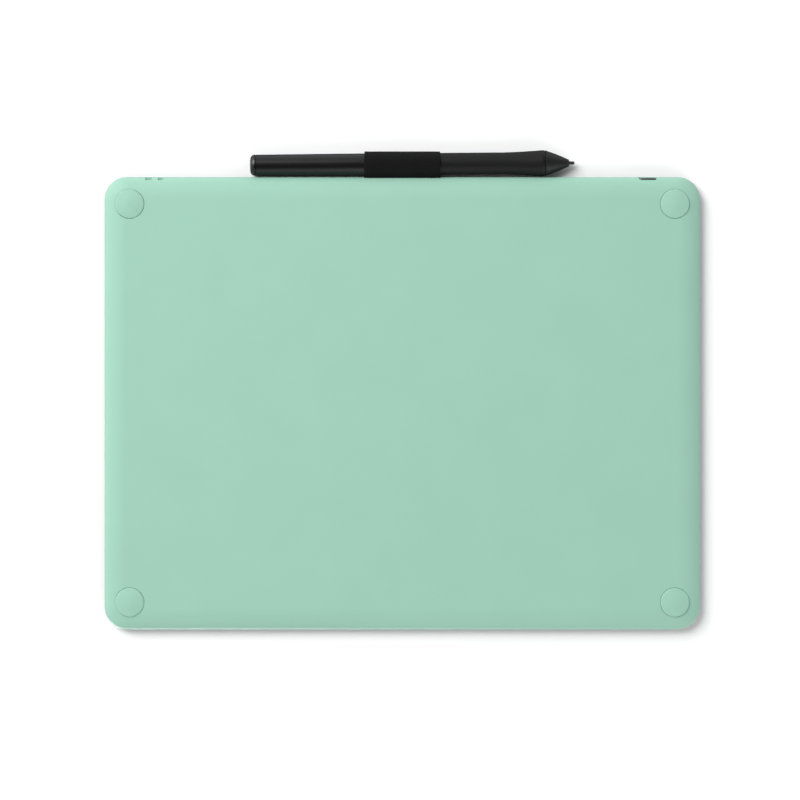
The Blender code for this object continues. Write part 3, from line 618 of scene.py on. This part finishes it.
class DRAWTAB_OT_bottom_cover(bpy.types.Operator):
    """Build the mint bottom cover with its rolled edge, foot pockets and ports"""

    bl_idname = "drawtab.bottom_cover"
    bl_label = "Bottom Cover"

    def execute(self, context):
        casing = context.scene.drawtab_casing
        rings = []
        outer_steps, inner_steps = 22, 8
        for step in range(outer_steps + 1):
            turn = math.pi / 2 * step / outer_steps
            inset = casing.edge_roll * (1 - math.sin(turn))
            height = UNDERSIDE + (RIM - UNDERSIDE) * (1 - math.cos(turn))
            rings.append(casing_outline(casing.corner_radius, inset, height))
        floor = UNDERSIDE + casing.wall
        for step in range(inner_steps + 1):
            turn = math.pi / 2 * (1 - step / inner_steps)
            inset = casing.wall + (casing.edge_roll - casing.wall) * (1 - math.sin(turn))
            height = floor + (RIM - floor) * (1 - math.cos(turn))
            rings.append(casing_outline(casing.corner_radius, inset, height))
        bm = bmesh.new()
        skin_rings(bm, rings)
        look = mint_plastic("mint_cover", casing.mint, (0.50, 0.58), 0.00035, 0.000006)
        cover = add_piece("cover_shell", bm, "tablet", ["bottom_cover"], look)
        pockets = [foot_pocket(name, casing.edge_roll, casing.corner_radius) for name in FOOT_NODES]
        cut_all(cover, pockets + self.mouths())
        return {"FINISHED"}


    def mouths(self):
        """Cutters for the socket, the loop and the tether slots, all in the back edge."""
        (left, _, low), (right, _, high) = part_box("usb_socket")
        socket = ((right + left) / 2, (right - left) / 2 + SEAM, low - SEAM, high + SEAM)
        cutters = [slot_cutter("socket_mouth", *socket, 0.0010, 0.004)]
        clamp_top, loop_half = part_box("loop_clamp_bar")[1][2], extent("pen_loop").x / 2 + SEAM
        loop = (CENTRE_X, loop_half, clamp_top, RIM + 0.002)
        cutters.append(slot_cutter("loop_mouth", *loop, 0.0006, 0.004))
        for index, (x, width) in enumerate(TETHER_SLOTS):
            tether = (x, width / 2, TETHER_LOW, TETHER_HIGH)
            cutters.append(slot_cutter(f"tether_slot_{index}", *tether, 0.0006, 0.005))
        return cutters


class DRAWTAB_OT_feet(bpy.types.Operator):
    """Build the four domed rubber feet"""

    bl_idname = "drawtab.feet"
    bl_label = "Rubber Feet"

    def execute(self, context):
        casing = context.scene.drawtab_casing
        look = mint_plastic("mint_rubber_foot", casing.feet, (0.60, 0.68), 0.00025, 0.000008)
        for name in FOOT_NODES:
            low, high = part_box(name)
            radius = (high[0] - low[0]) / 2 + casing.foot_fill
            flat, edge = radius * 0.12, 0.00080
            profile = [(0.0, low[2]), (flat, low[2])]
            for step in range(1, 17):
                share = step / 16
                across = flat + (radius - edge - flat) * share
                profile.append((across, low[2] + casing.foot_dome * share**1.5))
            last = profile[-1][1]
            for across, along in arc((0, 0), edge, -77, 0, 10):
                profile.append((radius - edge + across, last + edge + along))
            profile += [(radius, high[2]), (0.0, high[2])]
            place = upright(middle(name))
            turned_piece(f"{name}_pad", profile, place, "tablet", name, look)
        return {"FINISHED"}


class DRAWTAB_OT_top_panel(bpy.types.Operator):
    """Build the black top panel with its pen tray, sheet recess and key openings"""

    bl_idname = "drawtab.top_panel"
    bl_label = "Top Panel"

    def execute(self, context):
        casing = context.scene.drawtab_casing
        inset = HALF_WIDTH - extent("front_panel").x / 2
        bottom = RIM + SEAM
        rings = [casing_outline(casing.corner_radius, inset + 0.0002, bottom)]
        rings.append(casing_outline(casing.corner_radius, inset, bottom + 0.0002))
        edge = casing.panel_edge
        for across, along in arc((0, 0), edge, 0, 90, 10):
            rings.append(casing_outline(casing.corner_radius, inset + edge - across, TOP - edge + along))
        bm = bmesh.new()
        skin_rings(bm, rings)
        look = moulded("black_panel", casing.black, (0.46, 0.56), 0.00028, 0.00001, rubbed=0.02, shine=0.32)
        panel = add_piece("top_panel", bm, "tablet", ["front_panel"], look)
        cut_all(panel, [sheet_recess(), tray_cutter(), *self.openings((bottom - 0.001, TOP + 0.001))])
        return {"FINISHED"}

    def openings(self, heights):
        """Cutters for the keys, the power button and the light guide, between two heights."""
        cutters = []
        for name in KEY_NODES:
            half_x, half_y = key_half(name)
            sides = (half_x + SEAM, half_y + SEAM, 0.0018)
            rings = [rounded_outline(*sides, z, 8, middle(name)) for z in heights]
            cutters.append(cutter(f"opening_{name}", rings))
        turns = [2 * math.pi * step / 48 for step in range(48)]
        for name, radius in (("power_button", power_radius() + SEAM), ("light_guide", LIGHT_HOLE)):
            place = upright(middle(name))
            rings = [[place(radius, turn, z) for turn in turns] for z in heights]
            cutters.append(cutter(f"opening_{name}", rings))
        return cutters


def key_half(name):
    """Half the length and depth of a key's cap, which is smaller than its flange."""
    return extent(name).x / 2 - KEY_FLANGE, extent(name).y / 2 - KEY_FLANGE


def power_radius():
    """The radius of the power button's cap, which is smaller than its flange."""
    return extent("power_button").x / 2 - POWER_FLANGE


def sheet_recess():
    """The shallow seat of the drawing sheet, eased at its upper edge."""
    place, half = middle("drawing_sheet"), extent("drawing_sheet") / 2
    rings = []
    for spread, z in ((0.0003, TOP - 0.0005), (0.0003, TOP - 0.00012), (0.0005, TOP + 0.0001)):
        rings.append(rounded_outline(half.x + spread, half.y + spread, 0.003 + spread, z, 12, place))
    return cutter("sheet_recess", rings)


def tray_cutter():
    """The shallow pen tray: a flat floor whose sides ease up to the panel's top."""
    place = middle("power_button")

    def ring(half, z):
        return rounded_outline(*half, half[1] - 0.0004, z, 16, place)

    rings, steps = [], 12
    for step in range(steps + 1):
        share = step / steps
        half = [low + (high - low) * share for low, high in zip(TRAY_FLOOR_HALF, TRAY_TOP_HALF)]
        rings.append(ring(half, TOP - TRAY_DEPTH * (1 - smooth_step(share))))
    rings.append(ring([side + 0.0003 for side in TRAY_TOP_HALF], TOP + 0.0002))
    return cutter("pen_tray", rings)


class DRAWTAB_OT_drawing_sheet(bpy.types.Operator):
    """Build the matt drawing sheet with its corner marks"""

    bl_idname = "drawtab.drawing_sheet"
    bl_label = "Drawing Sheet"

    def execute(self, context):
        casing = context.scene.drawtab_casing
        low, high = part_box("drawing_sheet")
        place, half = middle("drawing_sheet"), extent("drawing_sheet") / 2
        edge, bottom, top = 0.00012, low[2], high[2]
        slight = edge * 0.3
        rings = []
        for inset, corner, z in (
            (0, 0.003, bottom),
            (0, 0.003, top - edge),
            (slight, 0.0029, top - slight),
            (edge, 0.0029, top),
        ):
            rings.append(rounded_outline(half.x - inset, half.y - inset, corner, z, 12, place))
        bm = bmesh.new()
        skin_rings(bm, rings)
        look = drawing_film("drawing_film", casing.film, casing.marks, place, ACTIVE_HALF)
        add_piece("drawing_film_sheet", bm, "tablet", ["drawing_sheet"], look)
        return {"FINISHED"}


class DRAWTAB_OT_keys(bpy.types.Operator):
    """Build the four keys, the power button and the light guide"""

    bl_idname = "drawtab.keys"
    bl_label = "Keys"

    def execute(self, context):
        casing = context.scene.drawtab_casing
        look = moulded("key_caps", casing.black, (0.36, 0.46), 0.00022, 0.000006, rubbed=0.06)
        for index, name in enumerate(KEY_NODES):
            bm = bmesh.new()
            self.key(bm, name, casing.key_dish, raised=index in (1, 2))
            add_piece(f"{name}_cap", bm, name, [name], look)
        self.power(casing, look)
        guide = frame["nodes"]["light_guide"]
        dress(guide, clear_plastic("light_guide_plastic"))
        return {"FINISHED"}

    def key(self, bm, name, dish, raised):
        """One cap on its flange: soft edges, a hollowed top, and a small bead on the inner keys."""
        bottom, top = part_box(name)[0][2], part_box(name)[1][2]
        place, half = middle(name), key_half(name)
        flange_top = bottom + FLANGE_HEIGHT

        def ring(inward, corner, z):
            return rounded_outline(half[0] - inward, half[1] - inward, corner, z, 8, place)

        rings = [ring(-KEY_FLANGE, 0.002, bottom), ring(-KEY_FLANGE, 0.002, flange_top)]
        rings.append(ring(0, 0.0015, flange_top))
        edge = 0.00035
        for across, along in arc((0, 0), edge, 0, 90, 6):
            inward = edge - across
            rings.append(ring(inward, 0.0015 - inward, top - edge + along))
        for step in range(1, 7):
            share = step / 7
            inward = edge + (half[1] - edge) * share * 0.98
            corner = max(0.0002, 0.0011 * (1 - share))
            rings.append(ring(inward, corner, top - dish * smooth_step(share)))
        skin_rings(bm, rings)
        if raised:
            bead, base = 0.0007, top - dish
            profile = [(0.0, base - 0.0001), (bead, base - 0.0001)]
            for turn in (1.57, 1.2, 0.8, 0.4, 0.0):
                profile.append((bead * math.sin(turn), base + 0.00022 * math.cos(turn)))
            turn_profile(bm, profile, 20, upright(place))

    def power(self, casing, look):
        """The round power button."""
        bottom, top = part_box("power_button")[0][2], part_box("power_button")[1][2]
        place, radius, wide = middle("power_button"), power_radius(), extent("power_button").x / 2
        edge, flange_top, hollow = 0.0003, bottom + FLANGE_HEIGHT, top - casing.key_dish
        profile = [(0.0, bottom), (wide, bottom), (wide, flange_top), (radius, flange_top)]
        for across, along in arc((0, 0), edge, 0, 90, 6):
            profile.append((radius - edge + across, top - edge + along))
        for step in range(1, 6):
            profile.append((radius * (1 - step / 6), top - casing.key_dish * smooth_step(step / 5)))
        profile.append((0.0, hollow))
        body, around = "power_button", upright(place)
        turned_piece("power_button_cap", profile, around, body, body, look, 64)
        self.sign(place, hollow, moulded("sign_paint", casing.marks, (0.4, 0.5), 0.0002, 0.000003))

    def sign(self, place, base, look):
        """The raised ring and bar on the power button."""
        ring_radius, bar = 0.0012, 0.00011
        eighths = [math.pi / 4 * step for step in range(8)]
        circle = []
        for step in range(41):
            turn = math.radians(90 + 35 + 290 * step / 40)
            section = []
            for angle in eighths:
                across = ring_radius + bar * math.cos(angle)
                x, y = place.x + across * math.cos(turn), place.y + across * math.sin(turn)
                section.append(Vector((x, y, base + bar * math.sin(angle))))
            circle.append(section)
        stroke = []
        for y in (0.00035, 0.0015):
            section = [(place.x + bar * math.cos(a), place.y + y, base + bar * math.sin(a)) for a in eighths]
            stroke.append([Vector(point) for point in section])
        bm = bmesh.new()
        skin_rings(bm, circle)
        skin_rings(bm, stroke)
        add_piece("power_sign", bm, "power_button", (), look)


# ---- The pen and its loop --------------------------------------------------------------
class DRAWTAB_OT_pen(bpy.types.Operator):
    """Build the pen: tail cap, barrel, grip, nose, nib and side switch"""

    bl_idname = "drawtab.pen"
    bl_label = "Pen"

    def execute(self, context):
        pen = context.scene.drawtab_pen
        self.tail_cap()
        self.barrel(pen)
        self.grip(pen)
        self.nose(pen)
        self.nib(pen)
        self.switch()
        return {"FINISHED"}

    def along(self, node):
        """Where a node starts and ends, measured along the pen from its tail."""
        low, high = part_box(node)
        return PEN_TAIL.x - high[0], PEN_TAIL.x - low[0]

    def radius(self, node):
        """The radius of a node of the pen."""
        return extent(node).z / 2

    def tail_cap(self):
        """The glossy round tail with the spigot that plugs it in."""
        start, end = self.along("pen_tail_cap")
        radius, skirt = self.radius("pen_tail_cap"), CAP_EDGE + start + 0.0001
        profile = [(0.0, start), (CAP_FLAT * 0.6, start + 0.00002)]
        for step in range(15):
            turn = math.pi / 2 * step / 14
            along = start + 0.00004 + CAP_EDGE * (1 - math.cos(turn))
            profile.append((CAP_FLAT + (radius - CAP_FLAT) * math.sin(turn), along))
        profile += [(radius - 0.0003, skirt), (CAP_SPIGOT, skirt), (CAP_SPIGOT, end), (0.0, end)]
        look = moulded("gloss_cap", (0.003, 0.003, 0.0033), (0.36, 0.42), 0.0006, 0.000002, rubbed=0.001)
        self.turned("tail_cap_dome", profile, "tail_cap", "gloss_black", "pen_tail_cap", look, closed=False)

    def turned(self, name, profile, body, slot, replaced, look, closed=True, steps=96):
        """A piece turned about the pen's axis; a closed profile leaves its middle open."""
        return turned_piece(name, profile, along_pen, body, replaced, look, steps, closed)

    def barrel(self, pen):
        """The tube that swells a little behind the tail cap."""
        start, end = self.along("pen_barrel")
        tail, full, bore = self.radius("pen_tail_cap"), self.radius("pen_barrel"), 0.0039
        profile = [(bore, start), (tail - 0.00012, start), (tail, start + 0.00012)]
        for step in range(1, 17):
            share = step / 16
            along = start + 0.00012 + (SWELL_END - start) * share
            profile.append((tail + (full - tail) * smooth_step(share), along))
        profile += [(full, end - 0.0001), (full - 0.0001, end), (bore, end)]
        look = satin_barrel("satin_barrel", pen.barrel)
        self.turned("pen_tube", profile, "pen", "black_plastic", "pen_barrel", look)

    def grip(self, pen):
        """The soft sleeve: straight, then flared to its widest ring, with the switch's opening."""
        start, end = self.along("pen_grip")
        widest, full, bore = self.radius("pen_grip"), self.radius("pen_barrel"), 0.0040
        profile = [(bore, start), (full - 0.00012, start), (full, start + 0.00012), (full, FLARE_START)]
        for step in range(1, 17):
            share = step / 16
            along = FLARE_START + (FLARE_END - FLARE_START) * share
            profile.append((full + (widest - full) * share**1.8, along))
        profile += [(widest - 0.00004, end - 0.0003), (widest - 0.00018, end), (bore + 0.0006, end)]
        profile += [(bore + 0.0006, end - 0.004), (bore, end - 0.005)]
        look = moulded(
            "soft_grip", pen.grip, (0.50, 0.60), 0.0002, 0.000012, drift=0.06, rubbed=0.001, shine=0.24
        )
        sleeve = self.turned("grip_sleeve", profile, "pen", "black_rubber", "pen_grip", look)
        clear = 0.00035
        half = (SWITCH_HALF[0] + clear, SWITCH_HALF[1] + clear)
        rings = []
        for rise in (0.0015, 0.009):
            outline = rounded_outline(*half, half[1] * 0.8, 0, 8)
            rings.append([on_pen(SWITCH_AT + point.x, point.y, rise) for point in outline])
        cut_all(sleeve, [cutter("switch_opening", rings)])

    def nose(self, pen):
        """The cone that ends the pen, with the nib's hole through it."""
        start, end = self.along("pen_nose")
        widest, tip = self.radius("pen_grip") - 0.00012, 0.00165
        spigot, hole, edge = 0.0043, 0.00105, NOSE_BASE + 0.00018
        profile = [(spigot - 0.0006, start), (spigot, start), (spigot, NOSE_BASE)]
        profile += [(widest - 0.00015, NOSE_BASE), (widest, edge)]
        for step in range(1, 11):
            share = step / 10
            bulge = 0.00016 * math.sin(math.pi * share)
            along = edge + (end - 0.0005 - NOSE_BASE) * share
            profile.append((widest + (tip - widest) * share + bulge, along))
        profile += [(0.0014, end), (hole, end), (hole, end - 0.002), (spigot - 0.0006, NOSE_BASE + 0.0027)]
        look = moulded(
            "nose_cone", pen.barrel, (0.46, 0.56), 0.00022, 0.00001, drift=0.05, rubbed=0.002, shine=0.32
        )
        self.turned("nose_cone", profile, "pen", "black_plastic", "pen_nose", look)

    def nib(self, pen):
        """The plain rod with a rounded tip."""
        start, end = self.along("pen_nib")
        radius, tip = self.radius("pen_nib"), pen.nib_tip
        profile = [(0.0, start), (radius, start), (radius, end - tip)]
        for step in range(1, 9):
            turn = math.pi / 2 * step / 8
            profile.append((radius * (1 - (1 - math.cos(turn)) * 0.98), end - tip * (1 - math.sin(turn))))
        profile[-1] = (0.0, end)
        look = moulded("nib_plastic", (0.008, 0.008, 0.0085), (0.35, 0.5), 0.00012, 0.000004)
        self.turned("nib_rod", profile, "nib", "nib_plastic", "pen_nib", look, closed=False, steps=40)

    def switch(self):
        """The rocker: a long soft-edged bar, waisted in the middle, on its pivot foot."""
        low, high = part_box("side_switch")
        half_length, half_width = SWITCH_HALF
        base, top = 0.0034, high[2] - PEN_Z
        columns, rows = 48, 14
        bm = bmesh.new()
        rings = []
        for i in range(columns + 1):
            across = -1 + 2 * i / columns
            along = SWITCH_AT + across * half_length
            end_round = math.sqrt(max(0.0, 1 - max(0.0, (abs(across) - 0.93) / 0.07) ** 2))
            width = half_width * max(0.12, end_round)
            waist = 0.00022 * math.exp(-((across / 0.12) ** 2))
            crown = top - waist - 0.00025 * (1 - end_round)
            ring = [on_pen(along, -width, base), on_pen(along, width, base)]
            for j in range(rows + 1):
                turn = math.pi * j / rows
                lift = math.sin(turn) ** 0.5
                ring.append(on_pen(along, width * math.cos(turn), crown - 0.0009 * (1 - lift)))
            rings.append(ring)
        skin_rings(bm, rings)
        foot = rounded_outline(0.0014, 0.0009, 0.0003, 0, 4)
        foot_rings = []
        for rise in (low[2] - PEN_Z, base + 0.0003):
            foot_rings.append([on_pen(SWITCH_AT + point.x, point.y, rise) for point in foot])
        skin_rings(bm, foot_rings)
        look = moulded("switch_plastic", (0.012, 0.012, 0.0125), (0.28, 0.38), 0.0003, 0.000004, rubbed=0.05)
        add_piece("side_switch_rocker", bm, "side_switch", ["side_switch"], look)


class DRAWTAB_OT_pen_loop(bpy.types.Operator):
    """Build the woven loop that holds the pen to the back edge"""

    bl_idname = "drawtab.pen_loop"
    bl_label = "Pen Loop"

    def execute(self, context):
        pen = context.scene.drawtab_pen
        path, total = self.route(pen)
        half = extent("pen_loop").x / 2
        bm = bmesh.new()
        layer = bm.loops.layers.uv.new("cloth")
        section = self.section(half, pen.cloth)
        loops, distances = [], []
        for place, normal, along in path:
            rib = pen.rib_height * abs(math.sin(math.pi * along / pen.rib_pitch))
            ring = []
            for x, out in section:
                lifted = place + normal * (out + (rib if out > 0 else 0.0))
                ring.append(bm.verts.new((CENTRE_X + x, lifted.y, lifted.z)))
            loops.append(ring)
            distances.append(along)
        for end in (0, -1):
            face = bm.faces.new(loops[end])
            for corner, (x, _) in zip(face.loops, section):
                corner[layer].uv = (x, distances[end])
        count = len(section)
        for i in range(len(loops) - 1):
            for k in range(count):
                n = (k + 1) % count
                face = bm.faces.new((loops[i][k], loops[i][n], loops[i + 1][n], loops[i + 1][k]))
                corners = ((k, i), (n, i), (n, i + 1), (k, i + 1))
                for corner, (column, row) in zip(face.loops, corners):
                    corner[layer].uv = (section[column][0], distances[row])
        look = woven_band("woven_band", pen.band, pen.rib_pitch)
        band = add_piece("loop_band", bm, "tablet", ["pen_loop"], look, sharp=80)
        return {"FINISHED"}

    def section(self, half, thick):
        """The band cut across: two layers with round selvedges, as (x, out) points."""
        points, columns, round_end = [], 26, thick / 2
        for side in (1, -1):
            for k in range(columns + 1):
                across = -half + round_end + (2 * half - thick) * k / columns
                points.append((side * across, side * round_end))
            for turn in (0.6, 1.2, 1.9, 2.5):
                across = half - round_end + round_end * math.sin(turn)
                points.append((side * across, side * round_end * math.cos(turn)))
        return points

    def route(self, pen):
        """The band's middle line: out of the slot, round the pen and back, with its outward side."""
        radius = PEN_AT_LOOP + 0.0002 + pen.cloth / 2
        tail_low, tail_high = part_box("loop_clamp_bar")[1][2] + SEAM, RIM - 0.0001
        mouth_y = BACK_EDGE - 0.0004
        inner_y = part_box("pen_loop")[0][1]
        layers = (tail_low + pen.cloth * 0.5, tail_high - pen.cloth * 0.5)
        raw = []
        for side, z in ((1, layers[0]), (-1, layers[1])):
            offset = (mouth_y - LOOP_Y, z - PEN_Z)
            distance, heading = math.hypot(*offset), math.atan2(offset[1], offset[0])
            touch = heading + side * math.acos(radius / distance)
            raw.append((z, touch % (2 * math.pi)))
        line = [Vector((0, inner_y, raw[0][0])), Vector((0, mouth_y, raw[0][0]))]
        start, end = raw[0][1], raw[1][1] + 2 * math.pi
        for step in range(181):
            turn = start + (end - start) * step / 180
            y, z = LOOP_Y + radius * math.cos(turn), PEN_Z + radius * math.sin(turn)
            line.append(Vector((0, y, z)))
        line += [Vector((0, mouth_y, raw[1][0])), Vector((0, inner_y, raw[1][0]))]
        return self.even(line, pen.rib_pitch / 5)

    def even(self, points, pitch):
        """The same line with evenly spaced points, each with its outward side and distance."""
        spans = [(b - a).length for a, b in zip(points, points[1:])]
        total = sum(spans)
        count = int(total / pitch)
        places = []
        for step in range(count + 1):
            target = total * step / count
            i = 0
            while i < len(spans) - 1 and target > spans[i]:
                target -= spans[i]
                i += 1
            places.append(points[i].lerp(points[i + 1], min(1.0, target / spans[i])))
        for _ in range(3):
            inner = [(a + 2 * b + c) / 4 for a, b, c in zip(places, places[1:], places[2:])]
            places = [places[0], *inner, places[-1]]
        route = []
        for i, place in enumerate(places):
            ahead = places[min(i + 1, count)] - places[max(i - 1, 0)]
            normal = Vector((0, ahead.z, -ahead.y)).normalized()
            route.append((place, normal, total * i / count))
        return route, total


# ---- Everything the casing hides -------------------------------------------------------
def dress(obj, look):
    """Puts a look in the CAD node's slots."""
    if not obj.material_slots:
        obj.data.materials.append(look)
    for slot in obj.material_slots:
        slot.material = look


# Colour, lowest and highest roughness, grain and bump depth, then what differs from plain plastic
INNER_FINISHES = {
    "circuit_board": (((0.012, 0.10, 0.035), (0.30, 0.42), 0.0008, 0.00002), {"drift": 0.15}),
    "chip_plastic": (((0.02, 0.02, 0.021), (0.50, 0.62), 0.00015, 0.00001), {}),
    "steel": (((0.56, 0.56, 0.55), (0.25, 0.38), 0.0002, 0.000004), {"metal": 1.0}),
    "copper": (((0.72, 0.36, 0.20), (0.28, 0.40), 0.0001, 0.00002), {"metal": 1.0}),
    "ferrite": (((0.05, 0.05, 0.052), (0.75, 0.85), 0.0002, 0.00002), {}),
    "battery_foil": (((0.62, 0.63, 0.65), (0.30, 0.45), 0.002, 0.00006), {"metal": 0.85}),
    "lead_cover": (((0.34, 0.018, 0.018), (0.45, 0.55), 0.0003, 0.000006), {}),
    "ribbon_film": (((0.50, 0.30, 0.08), (0.25, 0.35), 0.0006, 0.000004), {}),
    "nib_plastic": (((0.014, 0.014, 0.015), (0.35, 0.50), 0.00012, 0.000004), {}),
    "black_plastic": (((0.017, 0.017, 0.018), (0.42, 0.52), 0.00028, 0.00001), {}),
}


class DRAWTAB_OT_inner_parts(bpy.types.Operator):
    """Finish the boards, the metal parts and all that the casing hides"""

    bl_idname = "drawtab.inner_parts"
    bl_label = "Inner Parts"

    def execute(self, context):
        for entry in frame["record"]["subparts"]:
            obj = frame["nodes"][entry["node"]]
            slot = entry["material_slot"]
            if obj.hide_render or slot not in INNER_FINISHES:
                continue
            finish, more = INNER_FINISHES[slot]
            dress(obj, moulded(f"inner_{slot}", *finish, **more))
        plated = moulded("port_plating", (0.16, 0.16, 0.165), (0.38, 0.48), 0.0002, 0.000004, metal=1.0)
        dress(frame["nodes"]["usb_socket"], plated)
        return {"FINISHED"}


# ---- The studio ------------------------------------------------------------------------
def plane(name, size, z, up):
    """A square that faces up or down."""
    half = size / 2
    corners = [(-half, -half), (half, -half), (half, half), (-half, half)]
    if not up:
        corners.reverse()
    mesh = bpy.data.meshes.new(name)
    mesh.from_pydata([(x, y, z) for x, y in corners], [], [(0, 1, 2, 3)])
    obj = bpy.data.objects.new(name, mesh)
    bpy.context.scene.collection.objects.link(obj)
    obj.visible_shadow = False
    obj.visible_diffuse = False
    obj.visible_glossy = False
    obj.visible_transmission = False
    return obj


def area_light(name, place, aim, size, power):
    """A soft square light."""
    data = bpy.data.lights.new(name, "AREA")
    data.size = size
    data.energy = power
    lamp = bpy.data.objects.new(name, data)
    lamp.location = place
    lamp.rotation_mode = "QUATERNION"
    lamp.rotation_quaternion = (Vector(aim) - Vector(place)).to_track_quat("-Z", "Y")
    bpy.context.scene.collection.objects.link(lamp)
    return lamp


def light_place(turn, rise, distance=2.3):
    """A place round the tablet: turned from +X, and risen from the floor's plane, in degrees."""
    turn, rise = math.radians(turn), math.radians(rise)
    flat = math.cos(rise) * distance
    return (CENTRE_X + flat * math.cos(turn), CENTRE_Y + flat * math.sin(turn), distance * math.sin(rise))


def pale_cove(studio):
    """A dark studio with a pale band all round it, as a lit white cove gives."""
    world = bpy.data.worlds.new("pale_cove")
    world.use_nodes = True
    tree = world.node_tree
    way = node(tree, "TexCoord").outputs["Generated"]
    rise = maths(tree, "ABSOLUTE", node(tree, "SeparateXYZ", None, Vector=way).outputs[2])
    band = between(tree, rise, studio.cove_top, studio.cove_top * 0.45, studio.dark, studio.cove)
    tree.nodes["Background"].inputs["Color"].default_value = (0.97, 0.985, 1.0, 1)
    tree.links.new(band, tree.nodes["Background"].inputs["Strength"])
    return world


class DRAWTAB_OT_studio(bpy.types.Operator):
    """Set up the floor, the backdrop, the lights and the camera"""

    bl_idname = "drawtab.studio"
    bl_label = "Studio"

    def execute(self, context):
        scene = context.scene
        studio = scene.drawtab_studio
        # The last number of each is how far the painted contact shade on that surface reaches.
        for name, z, up, painted_shade_reach in (("floor", 0.0, True, 0.012), ("backdrop", TOP + SEAM, False, 0.0002)):
            surface = one_sided(f"pale_{name}", studio.floor, painted_shade_reach)
            plane(name, studio.floor_size, z, up).data.materials.append(surface)
        centre = (CENTRE_X, CENTRE_Y, 0.0)
        area_light("key_below", light_place(43, -43), centre, 1.5, studio.key_power)
        area_light("fill_below", light_place(-120, -25), centre, 1.8, studio.key_power * 0.36)
        area_light("key_above", light_place(-60, 50), centre, 1.1, studio.key_power * 0.75)
        scene.world = pale_cove(studio)
        scene.view_settings.view_transform = "Standard"
        self.camera(scene, studio)
        return {"FINISHED"}

    def camera(self, scene, studio):
        """A long lens square on to the underside, with the back edge at the top."""
        data = bpy.data.cameras.new("underside_camera")
        data.lens = studio.lens
        camera = bpy.data.objects.new("underside_camera", data)
        distance = studio.view_width / 2 / (data.sensor_width / 2 / data.lens)
        camera.location = (CENTRE_X + 0.0010, CENTRE_Y + 0.0014, RIM - distance)
        camera.rotation_euler = (0, math.pi, 0)
        data.clip_start = 0.01
        data.clip_end = 20.0
        scene.collection.objects.link(camera)
        scene.camera = camera


class DRAWTAB_PT_panel(bpy.types.Panel):
    """The tablet's pieces, in building order"""

    bl_label = "Drawing Tablet"
    bl_idname = "DRAWTAB_PT_panel"
    bl_space_type = "VIEW_3D"
    bl_region_type = "UI"
    bl_category = "Drawing Tablet"

    def draw(self, context):
        for settings in ("drawtab_casing", "drawtab_pen", "drawtab_studio"):
            box = self.layout.box()
            owner = getattr(context.scene, settings)
            for key in owner.__annotations__:
                box.prop(owner, key)
        for operator in OPERATORS:
            self.layout.operator(operator.bl_idname)


SETTINGS = {"drawtab_casing": CasingSettings, "drawtab_pen": PenSettings, "drawtab_studio": StudioSettings}
OPERATORS = (
    DRAWTAB_OT_studio,
    DRAWTAB_OT_bottom_cover,
    DRAWTAB_OT_feet,
    DRAWTAB_OT_top_panel,
    DRAWTAB_OT_drawing_sheet,
    DRAWTAB_OT_keys,
    DRAWTAB_OT_pen,
    DRAWTAB_OT_pen_loop,
    DRAWTAB_OT_inner_parts,
)


def register():
    """Adds the settings, the operators and the panel."""
    for made in (*SETTINGS.values(), *OPERATORS, DRAWTAB_PT_panel):
        bpy.utils.register_class(made)
    for name, settings in SETTINGS.items():
        setattr(bpy.types.Scene, name, PointerProperty(type=settings))


def unregister():
    """Takes them away again."""
    for name in SETTINGS:
        delattr(bpy.types.Scene, name)
    for made in reversed((*SETTINGS.values(), *OPERATORS, DRAWTAB_PT_panel)):
        bpy.utils.unregister_class(made)


def main():
    """Builds every piece in order."""
    register()
    for operator in OPERATORS:
        family, name = operator.bl_idname.split(".")
        getattr(getattr(bpy.ops, family), name)()


if __name__ == "__main__":
    main()
